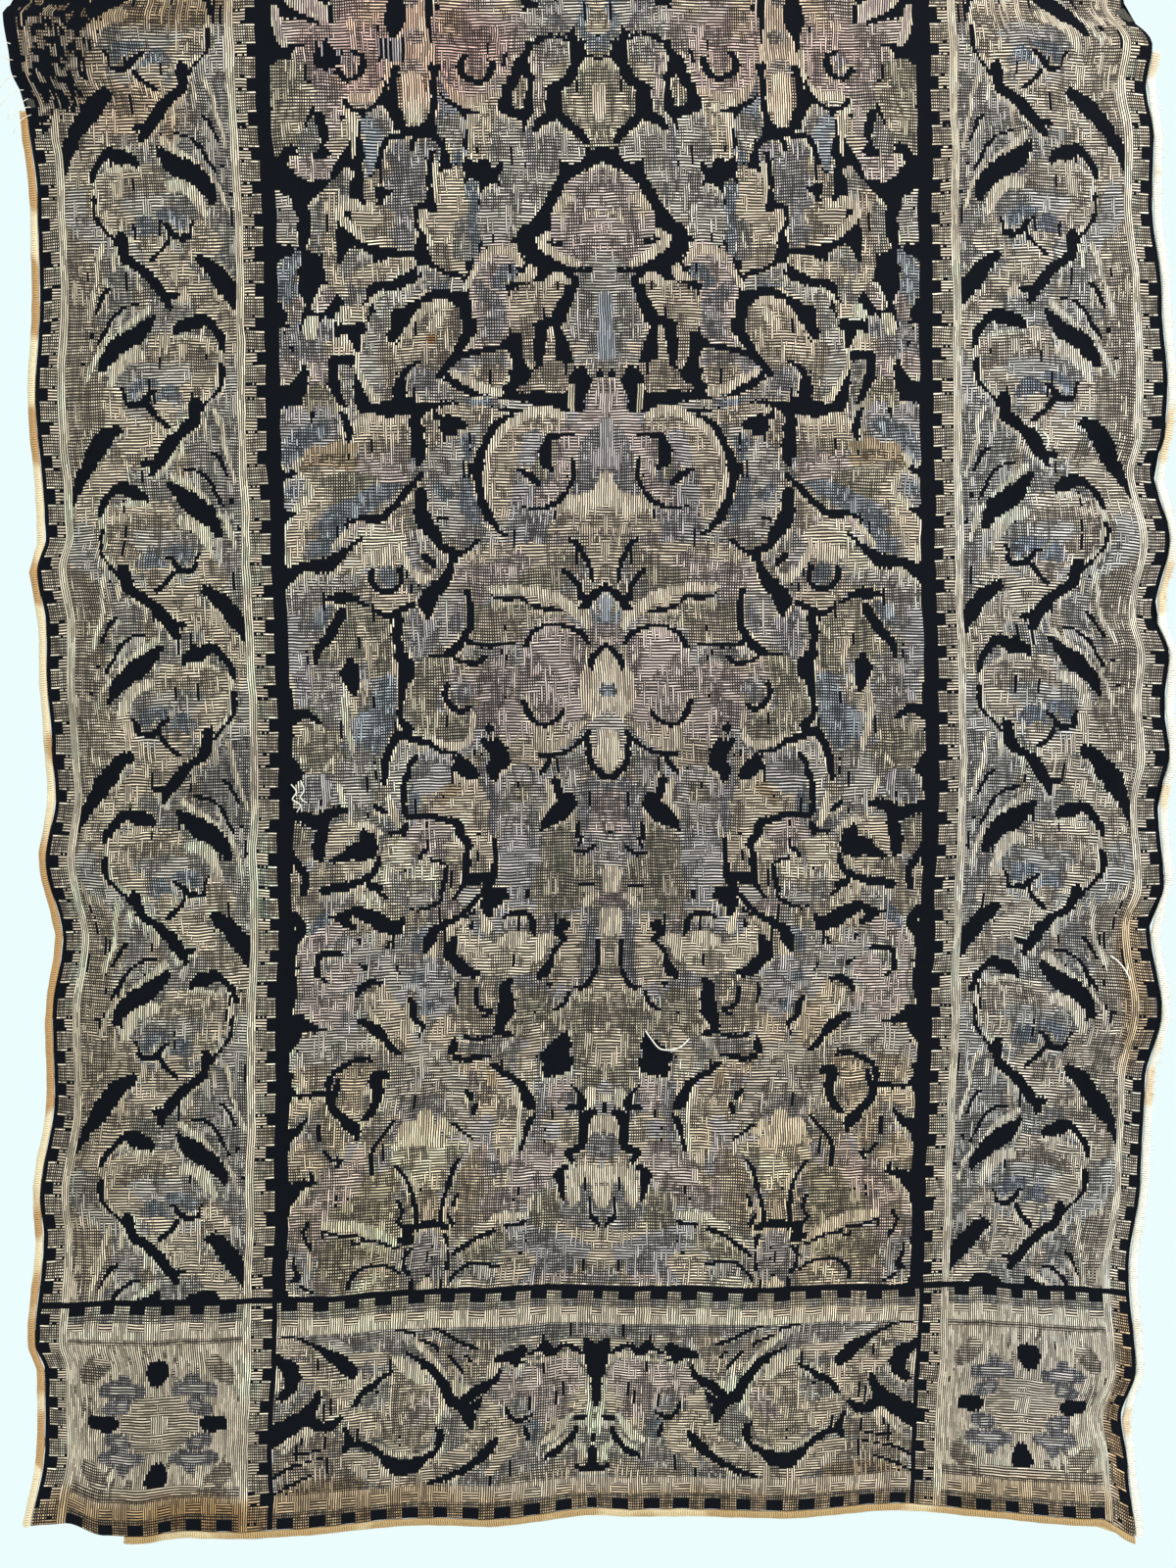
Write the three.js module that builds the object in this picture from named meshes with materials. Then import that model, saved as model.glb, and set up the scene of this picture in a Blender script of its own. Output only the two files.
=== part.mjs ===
// A jacquard-woven tapestry panel with woven borders, hanging by its top edge.
// Millimetres. X runs across to the right, Z up and Y away from whoever faces the front.
// The origin is the middle of the top edge.
import * as THREE from 'three';

// The cloth as it was woven, measured flat
const FLAT_WIDTH = 619;
const FLAT_DROP = 847;
const BORDER_WIDTH = 132;
const BORDER_LINE_DROP = 715;
const CLOTH_THICKNESS = 1.8;

// The overcast thread that binds the edges
const OVERCAST_WIDTH = 4.5;
const OVERCAST_THICKNESS = 2.8;
const OVERCAST_SIDES = 8;
const GAP = 0.3;

// How finely the sheet is divided
const BORDER_COLUMNS = 7;
const FIELD_COLUMNS = 18;
const ROWS = 56;

// Grid rows and columns where a stretch of overcast thread starts
const LEFT_START_ROW = 5;
const RIGHT_START_ROW = 3;
const HEM_START_COLUMN = 2.6;

// How the edges ripple: where the outline draws in, the edge swings back
const MEAN_HALF_WIDTH = 303;
const SWING_PER_SWAY = 1.1;
const RIPPLE_REACH = 42;

// How far out each side edge of the cloth lies, going down from the top
const LEFT_EDGE = [
  { down: 0, out: 302 },
  { down: 21, out: 303 },
  { down: 29, out: 308 },
  { down: 55, out: 305.5 },
  { down: 76, out: 298.5 },
  { down: 122, out: 295 },
  { down: 174, out: 294.7 },
  { down: 228, out: 297.2 },
  { down: 290, out: 294.2 },
  { down: 302, out: 293.8 },
  { down: 320, out: 297.6 },
  { down: 352, out: 294 },
  { down: 374, out: 294.3 },
  { down: 414, out: 292.7 },
  { down: 443, out: 291.2 },
  { down: 478, out: 295.8 },
  { down: 521, out: 289.1 },
  { down: 564, out: 294 },
  { down: 607, out: 293.6 },
  { down: 664, out: 300.4 },
  { down: 684, out: 299.1 },
  { down: 742, out: 303.3 },
  { down: 760, out: 299.2 },
  { down: 803, out: 299.3 },
  { down: 845, out: 304.3 },
];
const RIGHT_EDGE = [
  { down: 0, out: 286 },
  { down: 18, out: 288 },
  { down: 43, out: 299.8 },
  { down: 62, out: 297.4 },
  { down: 92, out: 301 },
  { down: 125, out: 300.7 },
  { down: 177, out: 305.2 },
  { down: 225, out: 308.1 },
  { down: 248, out: 307.5 },
  { down: 267, out: 303 },
  { down: 305, out: 310 },
  { down: 343, out: 304.3 },
  { down: 366, out: 310.5 },
  { down: 393, out: 308.8 },
  { down: 419, out: 311.3 },
  { down: 446, out: 307 },
  { down: 490, out: 309.9 },
  { down: 512, out: 304.4 },
  { down: 558, out: 309.9 },
  { down: 598, out: 303.4 },
  { down: 650, out: 302.3 },
  { down: 704, out: 297.8 },
  { down: 758, out: 301.4 },
  { down: 787, out: 295.3 },
  { down: 811, out: 297.8 },
  { down: 850, out: 300.4 },
];

// Where the middle of the field hangs, left or right of the origin
const FIELD_SWAY = [
  { down: 0, across: 2 },
  { down: 225, across: 6.5 },
  { down: 435, across: 11 },
  { down: 650, across: 7 },
  { down: 850, across: 2 },
];

// How low the line above the bottom border and the hem hang, going across
const SAG = [
  { across: -304, line: 723, hem: 840.5 },
  { across: -289, line: 722.6, hem: 841.5 },
  { across: -266, line: 722, hem: 851 },
  { across: -250, line: 721.5, hem: 852 },
  { across: -220, line: 720.4, hem: 847.4 },
  { across: -155, line: 719, hem: 846 },
  { across: -66, line: 715, hem: 841 },
  { across: 0, line: 712.7, hem: 835.2 },
  { across: 28, line: 713.4, hem: 837.6 },
  { across: 100, line: 714, hem: 835.5 },
  { across: 161, line: 713, hem: 833.6 },
  { across: 220, line: 711, hem: 836.4 },
  { across: 282, line: 715, hem: 839 },
  { across: 301, line: 718, hem: 849 },
];

// Soft vertical folds: each rises towards the front, and fades out at both ends
const FOLDS = [
  { across: 236, lean: 0.01, half: 11, rise: 4.2, from: 20, to: 640 },
  { across: 286, lean: -0.008, half: 8, rise: 3.4, from: 120, to: 760 },
  { across: -262, lean: 0.004, half: 16, rise: 3, from: 200, to: 700 },
  { across: -172, lean: 0.012, half: 15, rise: 2.6, from: 60, to: 560 },
  { across: 60, lean: -0.06, half: 46, rise: 3.2, from: 0, to: 480 },
  { across: -70, lean: 0.05, half: 52, rise: -3, from: 240, to: 860 },
  { across: 130, lean: 0.02, half: 40, rise: -2.6, from: 330, to: 860 },
];

// Slow waves along the hem, and the forward curl of its corners
const HEM_WAVE = { length: 148, rise: 3.6, reach: 90 };
const CORNER_CURL = { rise: 9, reach: 34 };

const COLUMNS = 2 * BORDER_COLUMNS + FIELD_COLUMNS;

function smooth(part) {
  const held = Math.min(Math.max(part, 0), 1);
  return held * held * (3 - 2 * held);
}

// A value that eases from row to row of a table
function eased(rows, key, value, place) {
  const next = rows.findIndex((row) => row[key] > place);
  if (next === 0) return rows[0][value];
  if (next < 0) return rows[rows.length - 1][value];
  const before = rows[next - 1];
  const after = rows[next];
  const part = (place - before[key]) / (after[key] - before[key]);
  return before[value] + (after[value] - before[value]) * smooth(part);
}

// Distance across the flat cloth of a grid column, from its left edge
function flatAcross(column) {
  const fieldWidth = FLAT_WIDTH - 2 * BORDER_WIDTH;
  const fieldEnd = BORDER_COLUMNS + FIELD_COLUMNS;
  if (column <= BORDER_COLUMNS) return (column / BORDER_COLUMNS) * BORDER_WIDTH;
  if (column >= fieldEnd) {
    return BORDER_WIDTH + fieldWidth + ((column - fieldEnd) / BORDER_COLUMNS) * BORDER_WIDTH;
  }
  return BORDER_WIDTH + ((column - BORDER_COLUMNS) / FIELD_COLUMNS) * fieldWidth;
}

// Where a point of the flat cloth hangs, across, at a distance down
function hangAcross(flat, down) {
  const left = -eased(LEFT_EDGE, 'down', 'out', down);
  const right = eased(RIGHT_EDGE, 'down', 'out', down);
  const halfField = FLAT_WIDTH / 2 - BORDER_WIDTH;
  const sway = eased(FIELD_SWAY, 'down', 'across', down);
  if (flat < BORDER_WIDTH) {
    return left + (flat / BORDER_WIDTH) * (sway - halfField - left);
  }
  if (flat > FLAT_WIDTH - BORDER_WIDTH) {
    const part = (flat - FLAT_WIDTH + BORDER_WIDTH) / BORDER_WIDTH;
    return sway + halfField + part * (right - sway - halfField);
  }
  return sway + flat - FLAT_WIDTH / 2;
}

// How low a point of the flat cloth hangs
function hangDown(flatDown, across) {
  const line = eased(SAG, 'across', 'line', across);
  const hem = eased(SAG, 'across', 'hem', across);
  if (flatDown <= BORDER_LINE_DROP) return (flatDown / BORDER_LINE_DROP) * line;
  const part = (flatDown - BORDER_LINE_DROP) / (FLAT_DROP - BORDER_LINE_DROP);
  return line + part * (hem - line);
}

// How far the middle of the cloth stands back from the plane of the top edge
function standBack(across, down) {
  const left = eased(LEFT_EDGE, 'down', 'out', down);
  const right = eased(RIGHT_EDGE, 'down', 'out', down);
  const hem = eased(SAG, 'across', 'hem', across);
  const fromLeft = left + across;
  const fromRight = right - across;
  const fromHem = hem - down;
  const swing = (out, from) =>
    SWING_PER_SWAY * (MEAN_HALF_WIDTH - out) * Math.exp(-from / RIPPLE_REACH);
  let back = swing(left, fromLeft) + swing(right, fromRight);
  for (const fold of FOLDS) {
    const offset = (across - fold.across - fold.lean * down) / fold.half;
    const quarter = (fold.to - fold.from) / 4;
    const ends = smooth((down - fold.from) / quarter) * smooth((fold.to - down) / quarter);
    back -= fold.rise * Math.exp(-offset * offset) * ends;
  }
  const wave = Math.sin((2 * Math.PI * across) / HEM_WAVE.length);
  back += HEM_WAVE.rise * wave * Math.exp(-fromHem / HEM_WAVE.reach);
  for (const fromSide of [fromLeft, fromRight]) {
    back -= CORNER_CURL.rise * Math.exp(-Math.hypot(fromSide, fromHem) / CORNER_CURL.reach);
  }
  return back;
}

// A grid point of the hanging cloth, as across, back and down
function gridPoint(column, row) {
  const flatDown = (row / ROWS) * FLAT_DROP;
  const flat = flatAcross(column);
  const roughly = flatDown * (SAG[0].hem / FLAT_DROP);
  const down = hangDown(flatDown, hangAcross(flat, roughly));
  const across = hangAcross(flat, down);
  return new THREE.Vector3(across, standBack(across, down), -down);
}

// A point between two neighbours of the grid, on the straight line that joins them
function between(column, row) {
  const first = gridPoint(Math.floor(column), Math.floor(row));
  const second = gridPoint(Math.ceil(column), Math.ceil(row));
  return first.lerp(second, Math.max(column % 1, row % 1));
}

function finish(color, roughness) {
  return new THREE.MeshStandardMaterial({ color, roughness, metalness: 0 });
}

function named(name, geometry, material) {
  geometry.computeVertexNormals();
  const mesh = new THREE.Mesh(geometry, material);
  mesh.name = name;
  return mesh;
}

// The cloth: one thin box, whose grid points take the places in which the cloth hangs
function tapestryPanel() {
  const geometry = new THREE.BoxGeometry(COLUMNS, 1, ROWS, COLUMNS, 1, ROWS);
  const places = geometry.attributes.position;
  for (let i = 0; i < places.count; i += 1) {
    const column = Math.round(places.getX(i) + COLUMNS / 2);
    const row = Math.round(ROWS / 2 - places.getZ(i));
    const point = gridPoint(column, row);
    point.y += places.getY(i) * CLOTH_THICKNESS;
    places.setXYZ(i, point.x, point.y, point.z);
  }
  return named('tapestry_panel', geometry, finish(0x7d745f, 0.95));
}

// One stretch of overcast thread: a flattened rod that follows the given edge points.
// Its width runs along outward, which points away from the cloth.
function overcastEdge(name, edge, outward, color) {
  const geometry = new THREE.CylinderGeometry(1, 1, 1, OVERCAST_SIDES, edge.length - 1);
  const places = geometry.attributes.position;
  const middle = GAP + OVERCAST_WIDTH / 2;
  for (let i = 0; i < places.count; i += 1) {
    const step = Math.round((0.5 - places.getY(i)) * (edge.length - 1));
    const aside = middle + (places.getX(i) * OVERCAST_WIDTH) / 2;
    const point = edge[step].clone().addScaledVector(outward, aside);
    point.y += (places.getZ(i) * OVERCAST_THICKNESS) / 2;
    places.setXYZ(i, point.x, point.y, point.z);
  }
  if (turnsInsideOut(edge, outward)) flipFaces(geometry);
  return named(name, geometry, finish(color, 0.9));
}

// Whether a rod that runs this way, with its width this way, has its faces pointing in
function turnsInsideOut(edge, outward) {
  const along = edge[0].clone().sub(edge[edge.length - 1]);
  const thickness = new THREE.Vector3(0, 1, 0);
  return outward.clone().cross(along).dot(thickness) < 0;
}

function flipFaces(geometry) {
  const corners = geometry.index;
  for (let i = 0; i < corners.count; i += 3) {
    const second = corners.getX(i + 1);
    corners.setX(i + 1, corners.getX(i + 2));
    corners.setX(i + 2, second);
  }
}

// The grid points down one side, with one more that carries the thread past the corner
function sidePoints(column, startRow) {
  const points = [];
  for (let row = startRow; row <= ROWS; row += 1) points.push(gridPoint(column, row));
  const corner = points[points.length - 1].clone();
  corner.z -= GAP + OVERCAST_WIDTH;
  points.push(corner);
  return points;
}

// The grid points along the hem, from partway between two columns
function hemPoints(startColumn) {
  const points = [between(startColumn, ROWS)];
  for (let column = Math.ceil(startColumn); column <= COLUMNS; column += 1) {
    points.push(gridPoint(column, ROWS));
  }
  return points;
}

const toTheLeft = new THREE.Vector3(-1, 0, 0);
const toTheRight = new THREE.Vector3(1, 0, 0);
const downwards = new THREE.Vector3(0, 0, -1);

const tapestry = new THREE.Group();
tapestry.add(tapestryPanel());
tapestry.add(
  overcastEdge('overcast_edge_left', sidePoints(0, LEFT_START_ROW), toTheLeft, 0xb58a52),
);
tapestry.add(
  overcastEdge('overcast_edge_bottom', hemPoints(HEM_START_COLUMN), downwards, 0xa8864f),
);
tapestry.add(
  overcastEdge('overcast_edge_right', sidePoints(COLUMNS, RIGHT_START_ROW), toTheRight, 0xcbb48c),
);

export default tapestry;
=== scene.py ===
"""A jacquard-woven tapestry panel with woven borders, hanging by its top edge.

Metres, X to the right, Z up and Y away from whoever faces the front. The origin is the middle of
the top edge. The cloth's own measures are in millimetres, across from its middle and down from
its top, as it was woven.
"""

import math

import bpy
import numpy as np
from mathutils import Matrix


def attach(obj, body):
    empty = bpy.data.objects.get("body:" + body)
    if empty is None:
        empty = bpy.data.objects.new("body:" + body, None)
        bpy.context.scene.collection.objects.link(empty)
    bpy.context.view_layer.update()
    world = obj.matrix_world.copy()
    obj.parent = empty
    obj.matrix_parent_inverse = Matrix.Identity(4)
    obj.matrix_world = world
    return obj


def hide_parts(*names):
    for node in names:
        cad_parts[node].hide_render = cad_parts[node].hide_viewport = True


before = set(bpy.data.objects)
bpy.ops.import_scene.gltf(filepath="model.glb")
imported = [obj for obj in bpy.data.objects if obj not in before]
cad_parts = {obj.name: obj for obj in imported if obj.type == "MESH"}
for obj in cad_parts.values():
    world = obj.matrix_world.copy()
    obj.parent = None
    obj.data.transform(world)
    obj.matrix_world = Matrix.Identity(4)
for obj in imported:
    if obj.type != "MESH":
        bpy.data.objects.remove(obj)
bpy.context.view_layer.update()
chance = np.random.default_rng(1908)

# The cloth as it was woven, in millimetres
FLAT_WIDTH = 619.0
FLAT_DROP = 847.0
BORDER_WIDTH = 132.0
BORDER_LINE_DROP = 715.0
CLOTH_THICKNESS = 1.8

# The overcast thread that binds the edges, in millimetres
OVERCAST_WIDTH = 4.5
OVERCAST_THICKNESS = 2.8
GAP = 0.3

# The shape in which the cloth hangs, in millimetres: the two side edges as (down, out from the
# middle), the sway of the field as (down, across), and the sag as (across, border line, hem)
LEFT_EDGE = [
    (0, 302), (21, 303), (29, 308), (55, 305.5), (76, 298.5), (122, 295), (174, 294.7),
    (228, 297.2), (290, 294.2), (302, 293.8), (320, 297.6), (352, 294), (374, 294.3),
    (414, 292.7), (443, 291.2), (478, 295.8), (521, 289.1), (564, 294), (607, 293.6),
    (664, 300.4), (684, 299.1), (742, 303.3), (760, 299.2), (803, 299.3), (845, 304.3),
]
RIGHT_EDGE = [
    (0, 286), (18, 288), (43, 299.8), (62, 297.4), (92, 301), (125, 300.7), (177, 305.2),
    (225, 308.1), (248, 307.5), (267, 303), (305, 310), (343, 304.3), (366, 310.5),
    (393, 308.8), (419, 311.3), (446, 307), (490, 309.9), (512, 304.4), (558, 309.9),
    (598, 303.4), (650, 302.3), (704, 297.8), (758, 301.4), (787, 295.3), (811, 297.8),
    (850, 300.4),
]
FIELD_SWAY = [(0, 2), (225, 6.5), (435, 11), (650, 7), (850, 2)]
SAG = [
    (-304, 723, 840.5), (-289, 722.6, 841.5), (-266, 722, 851), (-250, 721.5, 852),
    (-220, 720.4, 847.4), (-155, 719, 846), (-66, 715, 841), (0, 712.7, 835.2),
    (28, 713.4, 837.6), (100, 714, 835.5), (161, 713, 833.6), (220, 711, 836.4),
    (282, 715, 839), (301, 718, 849),
]
MEAN_HALF_WIDTH = 303.0
SWING_PER_SWAY = 1.1
RIPPLE_REACH = 42.0

# Soft vertical folds: across, lean, half width, rise towards the front, from, to
FOLDS = [
    (236, 0.01, 11, 4.2, 20, 640),
    (286, -0.008, 8, 3.4, 120, 760),
    (-262, 0.004, 16, 3, 200, 700),
    (-172, 0.012, 15, 2.6, 60, 560),
    (60, -0.06, 46, 3.2, 0, 480),
    (-70, 0.05, 52, -3, 240, 860),
    (130, 0.02, 40, -2.6, 330, 860),
]
HEM_WAVE_LENGTH, HEM_WAVE_RISE, HEM_WAVE_REACH = 148.0, 3.6, 90.0
CORNER_CURL_RISE, CORNER_CURL_REACH = 9.0, 34.0

# Where the overcast thread starts: rows of 56 down the sides, and millimetres along the hem
SIDE_ROWS = 56
LEFT_START_ROW = 5
RIGHT_START_ROW = 3
HEM_START = 49

# The camera: millimetres of lens and sensor, its place in metres and its pitch in degrees
LENS = 42.45
SENSOR_WIDTH = 36.0
CAMERA_PLACE = (0.0, -0.9986, -0.3831)
CAMERA_PITCH = 87

# The studio: the sky's colour, the window's place, aim, size, power and colour, and the floor
SKY_COLOUR = (0.84, 0.98, 0.985, 1)
WINDOW_PLACE = (0.9, -1.1, 0.5)
WINDOW_AIM = (0.0, 0.0, -0.42)
WINDOW_SIZE = (0.9, 1.4)
WINDOW_POWER = 28.0
WINDOW_COLOUR = (1.0, 0.93, 0.86)
FLOOR_WIDTH, FLOOR_DEPTH = 1.8, 1.15
FLOOR_MIDDLE, FLOOR_LEVEL = -0.325, -1.0
FLOOR_COLOUR = (0.85, 0.86, 0.85, 1)

# How far the axis of the field's pattern lies from its middle: down, across
PATTERN_AXIS = [(0, 2), (60, 3), (200, 3), (250, 2.5), (340, 0), (440, 0), (500, 2), (640, 1),
                (713, 1)]


def smooth(part):
    part = np.clip(part, 0, 1)
    return part * part * (3 - 2 * part)


def eased(rows, column, place):
    """A value that eases from row to row of a table."""
    table = np.array(rows, float)
    keys, values = table[:, 0], table[:, column]
    place = np.asarray(place, float)
    after = np.clip(np.searchsorted(keys, place, side="right"), 1, len(keys) - 1)
    part = smooth((place - keys[after - 1]) / (keys[after] - keys[after - 1]))
    return values[after - 1] + (values[after] - values[after - 1]) * part


def hang_across(flat, down):
    """Where a point of the flat cloth hangs, across; flat is measured from its left edge."""
    left = -eased(LEFT_EDGE, 1, down)
    right = eased(RIGHT_EDGE, 1, down)
    sway = eased(FIELD_SWAY, 1, down)
    half_field = FLAT_WIDTH / 2 - BORDER_WIDTH
    in_left = left + flat / BORDER_WIDTH * (sway - half_field - left)
    part = (flat - FLAT_WIDTH + BORDER_WIDTH) / BORDER_WIDTH
    in_right = sway + half_field + part * (right - sway - half_field)
    in_field = sway + flat - FLAT_WIDTH / 2
    return np.where(flat < BORDER_WIDTH, in_left,
                    np.where(flat > FLAT_WIDTH - BORDER_WIDTH, in_right, in_field))


def hang_down(flat_down, across):
    line = eased(SAG, 1, across)
    hem = eased(SAG, 2, across)
    part = (flat_down - BORDER_LINE_DROP) / (FLAT_DROP - BORDER_LINE_DROP)
    return np.where(flat_down <= BORDER_LINE_DROP, flat_down / BORDER_LINE_DROP * line,
                    line + part * (hem - line))


def stand_back(across, down):
    """How far the middle of the cloth stands back from the plane of its top edge."""
    left = eased(LEFT_EDGE, 1, down)
    right = eased(RIGHT_EDGE, 1, down)
    from_left, from_right = left + across, right - across
    from_hem = eased(SAG, 2, across) - down
    back = SWING_PER_SWAY * (MEAN_HALF_WIDTH - left) * np.exp(-from_left / RIPPLE_REACH)
    back = back + SWING_PER_SWAY * (MEAN_HALF_WIDTH - right) * np.exp(-from_right / RIPPLE_REACH)
    for place, lean, half, rise, start, end in FOLDS:
        offset = (across - place - lean * down) / half
        quarter = (end - start) / 4
        back = back - (rise * np.exp(-offset * offset)
                       * smooth((down - start) / quarter) * smooth((end - down) / quarter))
    back = back + (HEM_WAVE_RISE * np.sin(2 * np.pi * across / HEM_WAVE_LENGTH)
                   * np.exp(-from_hem / HEM_WAVE_REACH))
    for from_side in (from_left, from_right):
        back = back - CORNER_CURL_RISE * np.exp(-np.hypot(from_side, from_hem) / CORNER_CURL_REACH)
    return back


def hung(across, down):
    """Points of the middle of the cloth, in metres, for places on the flat cloth."""
    across, down = np.broadcast_arrays(np.asarray(across, float), np.asarray(down, float))
    flat = across + FLAT_WIDTH / 2
    roughly = down * (SAG[0][2] / FLAT_DROP)
    lies_down = hang_down(down, hang_across(flat, roughly))
    lies_across = hang_across(flat, lies_down)
    back = stand_back(lies_across, lies_down)
    return np.stack([lies_across, back, -lies_down], -1) / 1000


# The weave's chart: 496 warp ends across and 530 picks down. A cell holds the number of its
# yarn, plus 8 times the number of its weave: rib runs across, pile runs down, grid is both
ENDS = 496
PICKS = 530
END = FLAT_WIDTH / ENDS
PICK = FLAT_DROP / PICKS
YARNS = ["tan", "cream", "rose", "lilac", "blue", "olive", "stone", "brown"]
WEAVES = ["rib", "grid", "pile", "ink"]
RIB, GRID, PILE = 0, 1, 2
INK = 24
LATTICE = 64

cell_across, cell_down = np.meshgrid((np.arange(ENDS) + 0.5) * END - FLAT_WIDTH / 2,
                                     (np.arange(PICKS) + 0.5) * PICK)
cell_column, cell_row = np.meshgrid(np.arange(ENDS), np.arange(PICKS))


def lattice_noise(across, down, size, seed):
    """Smooth noise from -1 to 1, with lumps about as large as size in millimetres."""
    dice = np.random.default_rng(seed).uniform(-1, 1, (LATTICE, LATTICE))
    x, y = across / size + 100.0, down / size + 100.0
    column, row = np.floor(x).astype(int), np.floor(y).astype(int)
    part_across, part_down = smooth(x - column), smooth(y - row)
    left, right = column % LATTICE, (column + 1) % LATTICE
    top, bottom = row % LATTICE, (row + 1) % LATTICE
    first = dice[top, left] * (1 - part_across) + dice[top, right] * part_across
    second = dice[bottom, left] * (1 - part_across) + dice[bottom, right] * part_across
    return first * (1 - part_down) + second * part_down


def runs(length, seed):
    """Numbers from 0 to 1 that hold for short runs down each warp end."""
    dice = np.random.default_rng(seed)
    shift = dice.integers(0, length, ENDS)[cell_column]
    held = dice.uniform(0, 1, (PICKS // length + 3, ENDS))
    return held[(cell_row + shift) // length, cell_column]


teeth = runs(3, 21)
long_teeth = runs(6, 22)
uneven = (lattice_noise(cell_across, cell_down, 5, 23) * 0.7
          + lattice_noise(cell_across, cell_down, 13, 24) * 0.8 + (teeth - 0.5) * 1.5)
waxing = lattice_noise(cell_across, cell_down, 11, 25)


def yarn_code(name):
    if name == "ink":
        return INK
    yarn, weave = name.split()
    return YARNS.index(yarn) + 8 * WEAVES.index(weave)


def spine_steps(points):
    """Close steps along a smooth line through the points, with its half width at each."""
    rows = np.array(points, float)
    if len(rows) == 1:
        return rows
    rows = np.vstack([2 * rows[0] - rows[1], rows, 2 * rows[-1] - rows[-2]])
    steps = []
    for before, first, last, after in zip(rows, rows[1:], rows[2:], rows[3:]):
        count = int(np.ceil(np.hypot(*(last - first)[:2]) / 0.8)) + 1
        part = (np.arange(count) / count)[:, None]
        steps.append(0.5 * (2 * first + (last - before) * part
                            + (2 * before - 5 * first + 4 * last - after) * part ** 2
                            + (3 * first - before - 3 * last + after) * part ** 3))
    steps.append(rows[-2:-1])
    return np.vstack(steps)


def stroke(chart, name, *points):
    """Works one stroke of a yarn over the chart, uneven at its edge."""
    steps = spine_steps(points)
    reach = steps[:, 2].max() + 3
    near = ((cell_across > steps[:, 0].min() - reach) & (cell_across < steps[:, 0].max() + reach)
            & (cell_down > steps[:, 1].min() - reach) & (cell_down < steps[:, 1].max() + reach))
    rows, columns = np.nonzero(near)
    if not len(rows):
        return
    apart = np.hypot(cell_across[rows, columns][:, None] - steps[None, :, 0],
                     cell_down[rows, columns][:, None] - steps[None, :, 1]) - steps[None, :, 2]
    apart = apart.min(1) + uneven[rows, columns] * min(0.85, 0.15 + steps[:, 2].max() / 8)
    inside = apart < 0
    chart[rows[inside], columns[inside]] = yarn_code(name)


def strokes(table):
    """Reads a table with a stroke to a line: its yarn and weave, then its places one by one."""
    rows = []
    for line in table.strip().splitlines():
        if ":" in line:
            name, line = line.split(":")
            rows.append([name.strip()])
        places = [place.split() for place in line.split(",") if place.strip()]
        rows[-1] += [tuple(float(measure) for measure in place) for place in places]
    return rows


def fill(chart, left, right, top, bottom, name):
    """Works one plain patch."""
    chart[(cell_across >= left) & (cell_across < right)
          & (cell_down >= top) & (cell_down < bottom)] = yarn_code(name)


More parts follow.
